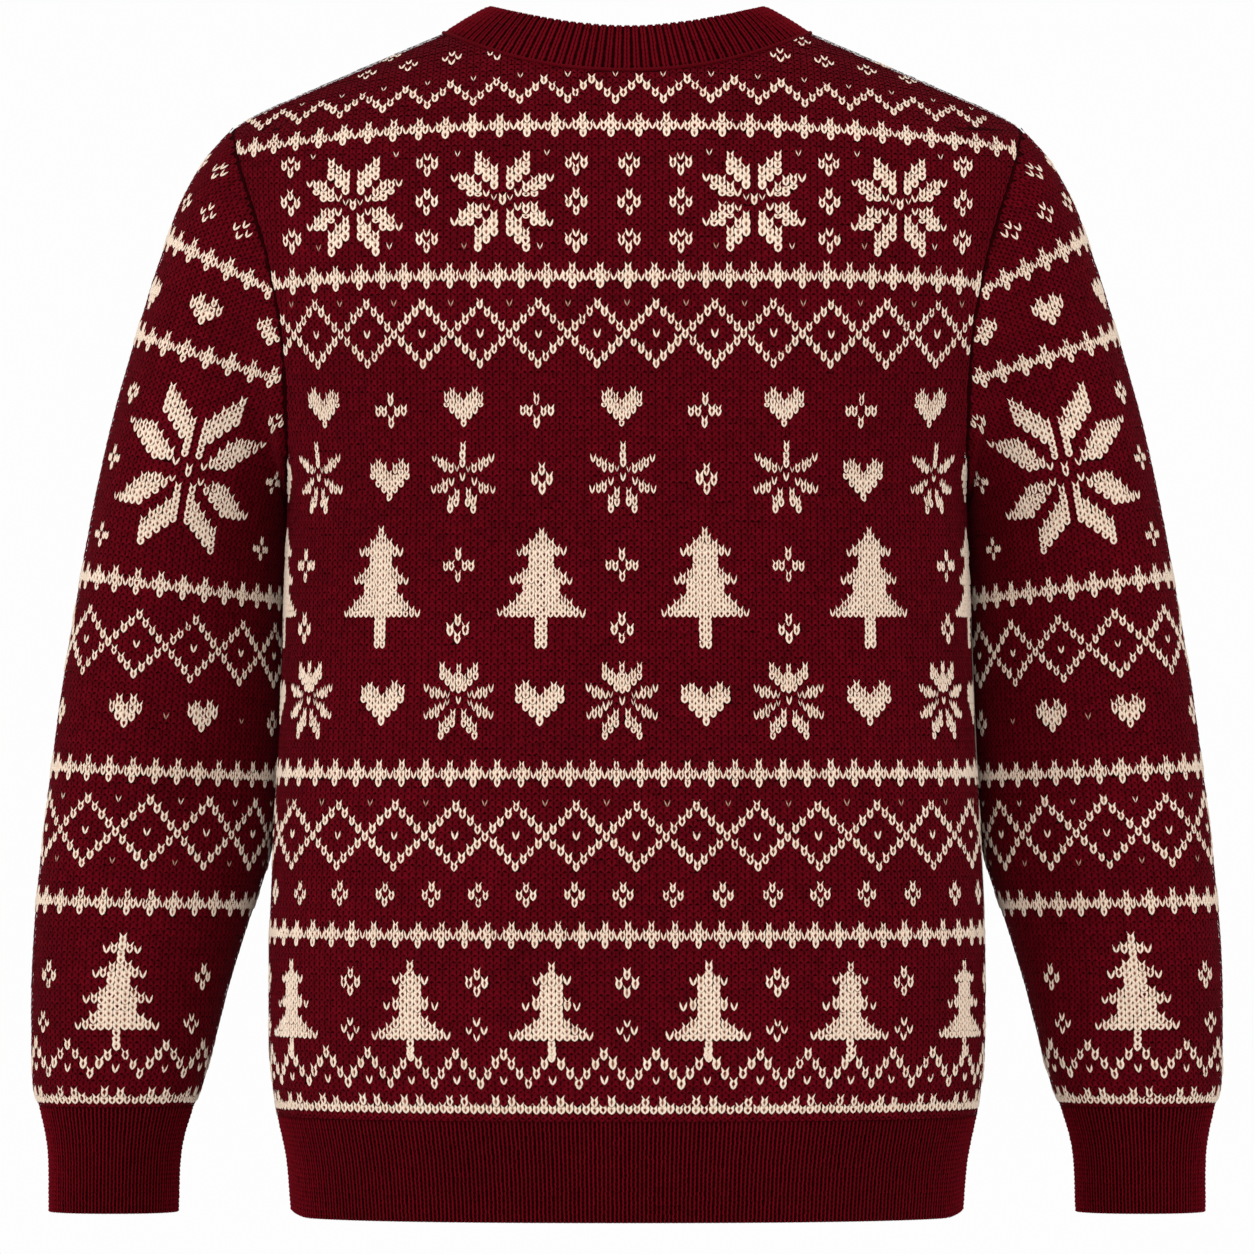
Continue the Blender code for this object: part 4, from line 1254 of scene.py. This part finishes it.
def along_rows(points):
    """Distance along each row of a grid from its middle column, in columns of stitches."""
    steps = np.linalg.norm(np.diff(points, axis=1), axis=2)
    run = np.concatenate([np.zeros((len(points), 1)), np.cumsum(steps, axis=1)], axis=1)
    return (run - run[:, points.shape[1] // 2][:, None]) / STITCH


# The map of what the cream stitches hide: the size of its cells, how far it goes on beside,
# below and above the face, and what each stitch hides of it, whose rows are counted from the
# map's lower edge.
CELL, BESIDE, BELOW, ABOVE = 0.1, 4, 2, 8
HIDES_ASIDE, HIDES_ROWS = 0.44, (2.1, 3.1)
# How near a stitch comes to its face's edges, and how far it may pass the upper one.
PLAIN_EDGE, CREAM_EDGE = (-0.2, 0.75), (0.0, 0.4)
CREAM_SEEDS, LINK_WANDER = 50, 0.6
THIN_TONES = (("v", 0.85), ("g", 0.3))
# Points of a panel: across half the neck and one shoulder, up the body and up the armhole.
PANEL_FINE, PANEL_COARSE = (90, 60, 60, 90), (22, 14, 36, 44)
# Points of a sleeve: down it and round it.
SLEEVE_FINE, SLEEVE_COARSE = (260, 241), (90, 73)


def plain_places(face, stitches, reach, rows):
    """Columns and rows of the burgundy stitches: a lattice less what the cream ones hide."""
    most = int(reach / PLAIN_WIDE)
    across, up = np.meshgrid(
        np.arange(-most, most + 1) * PLAIN_WIDE,
        FIRST_PLAIN_ROW + np.arange(int(rows / PLAIN_HIGH) + 2) * PLAIN_HIGH,
    )
    across, up = across.ravel(), up.ravel()
    size = int((2 * reach + 2 * BESIDE) / CELL), int((rows + BELOW + ABOVE) / CELL)
    hidden = np.zeros(size, dtype=bool)
    for column, row, wide, _, kind in stitches:
        if kind in "XL":
            left = int((column - HIDES_ASIDE * wide + reach + BESIDE) / CELL)
            right = int((column + HIDES_ASIDE * wide + reach + BESIDE) / CELL)
            low, high = (int((row + edge) / CELL) for edge in HIDES_ROWS)
            hidden[max(left, 0) : right + 1, low:high] = True
    count = np.zeros(len(across), dtype=int)
    for aside, rise in ((0, 0.25), (-0.27, 0.65), (0.27, 0.65)):
        first = ((across + aside + reach + BESIDE) / CELL).astype(int)
        second = ((up + rise + BELOW) / CELL).astype(int)
        count += hidden[np.clip(first, 0, size[0] - 1), np.clip(second, 0, size[1] - 1)]
    keep = (count < 3) & face.holds(across, up, *PLAIN_EDGE)
    number = int(keep.sum())
    return np.column_stack([across[keep], up[keep], np.full(number, PLAIN_WIDE), np.ones(number)])


def knit_piece(name, face, stitches, reach, rows, seed, materials):
    """The stitches of one piece: a burgundy mesh and a cream one."""
    columns = np.array([stitch[0] for stitch in stitches])
    lows = np.array([stitch[1] for stitch in stitches])
    held = face.holds(columns, lows, *CREAM_EDGE)
    stitches = [stitch for stitch, inside in zip(stitches, held.tolist()) if inside]
    plain = StitchPile(face, seed, 2 * reach + 4, rows + 6)
    plain.add(v_shape(PLAIN_LEG), plain_places(face, stitches, reach, rows), 1.0)
    cream = StitchPile(face, seed + CREAM_SEEDS, 2 * reach + 4, rows + 6)
    of_kind = {kind: [stitch[:4] for stitch in stitches if stitch[4] == kind] for kind in "XLsvg"}
    cream.add(v_shape(LONG_LEG), of_kind["X"], 1.0)
    cream.add(v_shape(LINK_LEG), of_kind["L"], 1.0, wander=LINK_WANDER)
    cream.add(v_shape(SHORT_LEG), [place[:3] + (1.0,) for place in of_kind["s"]], 1.0)
    cream.add(BACKING, of_kind["X"] + of_kind["L"], 1.0, wander=0.0)
    for kind, tone_and_painted_shade in THIN_TONES:
        cream.add(v_shape(THIN_LEG), [place[:3] + (1.0,) for place in of_kind[kind]], tone_and_painted_shade)
    return (
        add_piece(plain.mesh(name + "_burgundy_stitches"), materials["burgundy_wool"]),
        add_piece(cream.mesh(name + "_cream_stitches"), materials["cream_wool"]),
    )


def finish_cloth(shell, node, stitches):
    """Puts a shell and its stitches in the place of their node."""
    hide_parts(node)
    for piece in (shell,) + tuple(stitches):
        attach(piece, "root")


def make_shell(name, points, normals, courses, materials):
    knit_uv = np.stack([along_rows(points), courses], axis=-1)
    mesh = shell_mesh(name + "_shell", points, normals, knit_uv)
    return add_piece(mesh, materials["knit_ground_painted_shade"])


def make_panel(name, side, chart, seed, materials):
    fine = panel_face(side, *PANEL_FINE, cut_neck=False)
    face = stitched_face(
        fine,
        grid_normals(fine) * -side,
        body_course(fine),
        BODY_COLUMNS + 1,
        BODY_ROWS + 2,
        UNDERARM_ROW,
        lambda x: neckline_height(x, side),
        SHOULDER_TIP_ROWS,
    )
    stitches = knit_piece(name, face, chart, BODY_COLUMNS, BODY_ROWS, seed, materials)
    points = panel_face(side, *PANEL_COARSE, cut_neck=True)
    shell = make_shell(name, points, grid_normals(points) * -side, body_course(points), materials)
    finish_cloth(shell, name, stitches)


def sleeve_grid(side, rings, around):
    """Points and outward directions of a sleeve."""
    points = sleeve_face(side, rings, around)
    normals = grid_normals(points)
    if np.dot(normals[rings // 2, around // 2], (side, 0, 0)) < 0:
        normals = -normals
    return points, normals


def make_sleeve(name, side, chart, seed, materials):
    fine, facing = sleeve_grid(side, *SLEEVE_FINE)
    face = stitched_face(
        fine, facing, sleeve_course(fine), SLEEVE_COLUMNS + 1, SLEEVE_ROWS + 2, GATHER_ROW
    )
    stitches = knit_piece(name, face, chart, SLEEVE_COLUMNS, SLEEVE_ROWS, seed, materials)
    points, normals = sleeve_grid(side, *SLEEVE_COARSE)
    normals[:, 0] = normals[:, -1] = unit(normals[:, 0] + normals[:, -1])
    shell = make_shell(name, points, normals, sleeve_course(points), materials)
    finish_cloth(shell, name, stitches)


RIB_STEPS = 4
RIB_WAVE, RIB_SINK = 0.0007, 0.0005
RIB_WANDER, FIRST_RIB_STITCH = 0.6, 0.7
# The neckband's stitches are drawn a little darker, mixed part-way towards the painted shade
# colour between the strands.
BAND_TONE = 0.85


def rib_wave(columns):
    """How far the ribbed shell stands out at each of its columns."""
    return RIB_WAVE * (np.cos(2 * np.pi * np.arange(columns) / RIB_STEPS) - 1)


def ribbed_shell(name, outer, normals, inner, share, ribs, rows_high, material):
    """A ribbed tube's wall, from rings of outer points from its lower edge up and rings of
    inner points back down."""
    rings, columns = outer.shape[:2]
    wave = rib_wave(columns)[None, :] * share[:, None] - RIB_SINK
    wall = np.concatenate([outer + normals * wave[..., None], inner])
    faces, laid = wrapped_faces(len(wall), columns, True, face_turn(outer, normals) < 0)

    def layout(around, up_outside, down_inside, end):
        up, down = np.linspace(*up_outside, rings), np.linspace(*down_inside, len(inner))
        grid = np.meshgrid(np.linspace(*around, columns + 1), np.concatenate([up, down, [end]]))
        return np.stack(grid, axis=-1).reshape(-1, 2)

    knit_uv = layout((0, 2 * ribs), (0, rows_high), (rows_high, 0), 0)
    flat = layout((0.005, 0.995), (0.01, 0.49), (0.51, 0.97), 0.99)
    mesh = make_mesh(name, wall.reshape(-1, 3), faces, knit_uv[laid], flat[laid])
    return add_piece(mesh, material)


def rib_stitches(name, outer, normals, ribs, rows_high, seed, materials, leg=RIB_LEG, tone_and_painted_shade=1.0):
    """A column of small Vs along the crest of each rib."""
    rings = outer.shape[0]
    face = KnitFace(outer, normals, 0, True, 1 / RIB_STEPS, rows_high / (rings - 1))
    columns, numbers = np.meshgrid(np.arange(ribs), np.arange(-1, int(rows_high)))
    columns, numbers = columns.ravel(), numbers.ravel() + FIRST_RIB_STITCH
    pile = StitchPile(face, seed, 2 * ribs, rows_high + 3)
    same = np.ones(len(columns))
    pile.add(v_shape(leg), np.stack([columns, numbers, same, same], 1), tone_and_painted_shade, RIB_WANDER)
    return add_piece(pile.mesh(name + "_rib_stitches"), materials["rib_wool"])


def tube_rings(sections, columns, lift=None):
    """Outer points and normals of a tube's rings from its lower edge up."""
    points, normals = [], []
    for height, centre, half_x, half_back, half_front, squareness in sections:
        ring, facing = oval_ring(columns, centre, half_x, half_back, half_front, squareness)
        z = np.full(columns, height)
        if lift is not None:
            z = z + lift(ring[:, 0] - centre[0], half_x, height)
        points.append(np.column_stack([ring, z]))
        normals.append(np.column_stack([facing, np.zeros(columns)]))
    return np.array(points), np.array(normals)


def hem_lift(x, half_x, height):
    """The hem's lower edge turns up a little at the two sides."""
    near_edge = np.clip((HEM_SEAM - height) / (HEM_SEAM - HEM_BOTTOM), 0, 1)
    past = np.clip((np.abs(x) / half_x - HEM_CORNER_START) / (1 - HEM_CORNER_START), 0, 1)
    return HEM_CORNER_LIFT * past**2 * near_edge


EDGE_ROUNDING = (0.0014, 0.0003, 0.0)
EDGE_HEIGHT, STRAIGHT_FROM, RINGS = 0.0012, 0.004, 9
STITCH_RINGS, TUBE_GAP, TUBE_WALL = 12, 0.0003, 0.0027
LOWEST_SHARE, HIGHEST_SHARE = 0.5, 0.3


def make_ribbed_tube(name, section, bottom, top, ribs, seed, materials, lift=None):
    """A ribbed tube between two heights; section gives its shape at a height."""
    columns = ribs * RIB_STEPS
    top -= TUBE_GAP
    straight = np.linspace(bottom + STRAIGHT_FROM, top, RINGS)
    heights = np.concatenate([[bottom, bottom + EDGE_HEIGHT], straight])
    outer, normals = tube_rings([section(z) for z in heights], columns, lift)
    share = np.ones(len(outer))
    share[0], share[-1] = LOWEST_SHARE, HIGHEST_SHARE
    wall = outer.copy()
    for ring, inset in enumerate(EDGE_ROUNDING):
        wall[ring] -= normals[ring] * inset
    inner = (outer - normals * TUBE_WALL)[::-1]
    rows_high = round((top - bottom) / RIB_ROW)
    shell = ribbed_shell(
        name + "_shell", wall, normals, inner, share, ribs, rows_high, materials["rib_ground_painted_shade"]
    )
    even = [section(z) for z in np.linspace(bottom, top, STITCH_RINGS)]
    rings, facing = tube_rings(even, columns, lift)
    stitches = rib_stitches(name, rings, facing, ribs, rows_high, seed, materials)
    finish_cloth(shell, name, (stitches,))


def make_hem(materials):
    def section(z):
        curves = (body_half_width, back_depth, front_depth)
        half_x, back, front = (float(curve(z)) for curve in curves)
        return z, (0.0, 0.0), half_x, back, front, BODY_SQUARENESS

    make_ribbed_tube(
        "hem_band", section, HEM_BOTTOM, HEM_SEAM, HEM_RIBS, RIB_SEED, materials, hem_lift
    )


def make_cuff(name, side, seed, materials):
    table = sorted(CUFF_TABLE)
    outer_x, inner_x, half_depth = (smooth_column(table, column) for column in (1, 2, 3))

    def section(z):
        ox, ix, deep = float(outer_x(z)), float(inner_x(z)), float(half_depth(z))
        return z, (side * (ox + ix) / 2, CUFF_Y), (ox - ix) / 2, deep, deep, SLEEVE_SQUARENESS

    bottom, top = table[0][0], table[-1][0]
    make_ribbed_tube(name, section, bottom, top, CUFF_RIBS, seed, materials)


BAND_SHAPE = (
    # part of the way up the band, how far out of its plane, share of the ribs' height
    (0.00, 0.0000, 0.3),
    (0.08, 0.0003, 1.0),
    (0.30, 0.0006, 1.0),
    (0.55, 0.0006, 1.0),
    (0.80, 0.0003, 1.0),
    (0.92, -0.0001, 0.9),
    (0.98, -0.0010, 0.7),
    (1.00, -0.0021, 0.5),
    (0.985, -0.0033, 0.4),
    (0.93, -0.0041, 0.3),
    (0.70, -0.0043, 0.2),
)
BAND_INSIDE = ((0.35, -0.0045), (0.02, -0.0047))
BAND_GAP, BAND_ROWS, BAND_STITCH_RINGS, NECKLINE_POINTS = 0.0004, 12, 25, 241
# The welt along the neckline is drawn dark: its tone mixes it about half-way towards the painted
# shade colour between the strands, and WELT_SHADE picks a darker depth of its dye.
WELT_PLACE, WELT_RADIUS, WELT_SHADE, WELT_TONE = 0.0002, 0.0011, 0.4, 0.45


def band_path(points, side):
    """From each neckline point to the neckband's upper edge there."""
    sides = np.clip(np.abs(points[:, 0]) / NECK_HALF_WIDTH, 0, 1) ** BAND_SIDE_POWER
    rise_far = BAND_RISE_FRONT if side > 0 else BAND_RISE_BACK
    lean_far = BAND_LEAN_FRONT if side > 0 else BAND_LEAN_BACK
    rise = BAND_RISE_SIDE * sides + rise_far * (1 - sides)
    lean = BAND_LEAN_SIDE * sides + lean_far * (1 - sides)
    inward = unit(np.stack([-points[:, 0], -points[:, 1], np.zeros(len(points))], axis=1))
    path = inward * lean[:, None]
    path[:, 2] = rise
    return path


def neckline_curve(side, count):
    """Points along one panel's neckline from -X to +X, and the neckband's facing there."""
    x = NECK_HALF_WIDTH * np.sin(np.linspace(-math.pi / 2, math.pi / 2, count))
    z = neckline_height(x, side)
    points = np.stack([x, side * torso_depth(x, z, panel_depth(side)), z], axis=1)
    facing = np.cross(np.gradient(points, axis=0), band_path(points, side)) * -side
    facing[0] = (-BAND_RISE_SIDE, 0, BAND_LEAN_SIDE)
    facing[-1] = (BAND_RISE_SIDE, 0, BAND_LEAN_SIDE)
    return points, unit(facing)


def neck_ring(count):
    """Evenly spaced places round the neckline, with the neckband's facing and path."""
    back, back_facing = neckline_curve(-1, NECKLINE_POINTS)
    front, front_facing = neckline_curve(1, NECKLINE_POINTS)
    ring = np.concatenate([back[::-1], front[1:]])
    facing = np.concatenate([back_facing[::-1], front_facing[1:]])
    path = np.concatenate([band_path(back, -1)[::-1], band_path(front, 1)[1:]])
    run = run_along(ring)
    at = run[-1] * np.arange(count) / count

    def spread(values):
        return np.stack([np.interp(at, run, values[:, axis]) for axis in range(3)], axis=1)

    return spread(ring), unit(spread(facing)), spread(path)


def make_neckband(materials):
    columns = BAND_RIBS * RIB_STEPS
    points, facing, path = neck_ring(columns)
    outer = np.array([points + path * up + facing * out for up, out, _ in BAND_SHAPE])
    outer += unit(path) * BAND_GAP
    normals = grid_normals(outer, closed=True)
    if np.sum(normals[3] * facing) < 0:
        normals = -normals
    share = np.array([row[2] for row in BAND_SHAPE])
    inner = np.array([points + path * up + facing * out for up, out in BAND_INSIDE])
    ground = materials["rib_ground_painted_shade"]
    shell = ribbed_shell(
        "neckband_shell", outer, normals, inner, share, BAND_RIBS, BAND_ROWS, ground
    )
    steps = np.linalg.norm(np.diff(outer, axis=0), axis=2).mean(axis=1)
    run = np.concatenate([[0], np.cumsum(steps)])
    fine = np.linspace(0, run[-1], BAND_STITCH_RINGS)

    def spread(rings):
        even = [
            [np.interp(fine, run, rings[:, column, axis]) for axis in range(3)]
            for column in range(columns)
        ]
        return np.array(even).transpose(2, 0, 1)

    stitches = rib_stitches(
        "neckband",
        spread(outer),
        unit(spread(normals)),
        BAND_RIBS,
        run[-1] / RIB_ROW,
        RIB_SEED + 4,
        materials,
        BAND_LEG,
        BAND_TONE,
    )
    welt_line = points + unit(path) * -WELT_PLACE + facing * WELT_PLACE
    welt = make_cord("neckband_welt", welt_line, WELT_RADIUS, materials["rib_wool"])
    finish_cloth(shell, "neckband", (stitches, welt))


def make_cord(name, centre_line, radius, material, sides=8):
    """A rolled edge: a round tube along a closed line."""
    count = len(centre_line)
    along = unit(np.roll(centre_line, -1, axis=0) - np.roll(centre_line, 1, axis=0))
    sideways = unit(np.cross(along, (0, 0, 1.0)))
    upward = np.cross(sideways, along)
    angle = 2 * np.pi * np.arange(sides + 1) / sides
    rings = (
        centre_line[:, None]
        + sideways[:, None] * (np.cos(angle) * radius)[None, :, None]
        + upward[:, None] * (np.sin(angle) * radius)[None, :, None]
    )
    rings = np.concatenate([rings, rings[:1]])
    uv = np.meshgrid(np.linspace(0, 1, sides + 1), np.arange(count + 1) * 0.25)
    flat = np.meshgrid(np.linspace(0.01, 0.99, sides + 1), np.linspace(0.01, 0.99, count + 1))
    points = rings.reshape(-1, 3)
    mesh = make_mesh(
        name,
        points,
        grid_faces(count + 1, sides + 1),
        np.stack(uv, axis=-1).reshape(-1, 2),
        np.stack(flat, axis=-1).reshape(-1, 2),
        np.full(len(points), WELT_SHADE),
        np.full(len(points), WELT_TONE),
    )
    return add_piece(mesh, material)


# ---------------------------------------------------------------------------
# Camera, floor and light
# ---------------------------------------------------------------------------

VIEW_HEIGHT, VIEW_DISTANCE = -0.3427, 8.0
FRAME_WIDTH, SENSOR = 0.7236, 36.0
FLOOR_HEIGHT = -1.05
FLOOR_HALF_WIDTH, LIT_PLACE = 2.5, (0, 0, -0.3)
ROOM_LIGHT, BACKDROP_LIGHT = 0.37, 0.985
SOFTBOXES = (
    # name, place, width, power
    ("front_softbox", (-0.5, -4.0, 1.2), 2.4, 90),
    ("left_softbox", (-3.6, -1.6, 0.4), 2.0, 58),
    ("right_softbox", (3.6, -1.6, 0.4), 2.0, 48),
    ("top_softbox", (0.0, -1.2, 3.0), 2.0, 45),
)


def add_camera():
    camera = bpy.data.cameras.new("view")
    camera.sensor_width = SENSOR
    camera.lens = SENSOR * VIEW_DISTANCE / FRAME_WIDTH
    camera.clip_end = 60
    obj = bpy.data.objects.new("view", camera)
    obj.location = (0, -VIEW_DISTANCE, VIEW_HEIGHT)
    obj.rotation_euler = (math.pi / 2, 0, 0)
    bpy.context.scene.collection.objects.link(obj)
    bpy.context.scene.camera = obj


def add_area_light(name, location, target, size, power):
    light = bpy.data.lights.new(name, "AREA")
    light.shape = "DISK"
    light.size = size
    light.energy = power
    obj = bpy.data.objects.new(name, light)
    obj.location = location
    way = np.array(target, dtype=float) - np.array(location, dtype=float)
    obj.rotation_euler = (
        math.atan2(math.hypot(way[0], way[1]), -way[2]),
        0,
        math.atan2(way[1], way[0]) - math.pi / 2,
    )
    bpy.context.scene.collection.objects.link(obj)


def add_studio(materials):
    turns = ((-1, -1), (1, -1), (1, 1), (-1, 1))
    corners = [(x * FLOOR_HALF_WIDTH, y * FLOOR_HALF_WIDTH, FLOOR_HEIGHT) for x, y in turns]
    floor = add_piece(make_mesh("studio_floor", corners, [(0, 1, 2, 3)]), materials["pale_floor"])
    world = bpy.data.worlds.new("soft_white")
    world.use_nodes = True
    tree = world.node_tree
    background = tree.nodes["Background"]
    background.inputs["Color"].default_value = (1, 1, 1, 1)
    seen = tree.nodes.new("ShaderNodeLightPath").outputs["Is Camera Ray"]
    tree.links.new(between(tree, seen, ROOM_LIGHT, BACKDROP_LIGHT), background.inputs["Strength"])
    bpy.context.scene.world = world
    bpy.context.scene.view_settings.view_transform = "Standard"
    for name, location, size, power in SOFTBOXES:
        add_area_light(name, location, LIT_PLACE, size, power)


def main():
    add_camera()
    materials = make_materials()
    add_studio(materials)
    body, sleeve = body_chart(), sleeve_chart()
    make_panel("back_panel", -1, body, YARN_SEED, materials)
    make_panel("front_panel", 1, body, YARN_SEED + 1, materials)
    make_sleeve("sleeve_left", -1, sleeve, YARN_SEED + 2, materials)
    make_sleeve("sleeve_right", 1, sleeve, YARN_SEED + 3, materials)
    make_hem(materials)
    make_cuff("cuff_left", -1, RIB_SEED + 1, materials)
    make_cuff("cuff_right", 1, RIB_SEED + 2, materials)
    make_neckband(materials)


main()
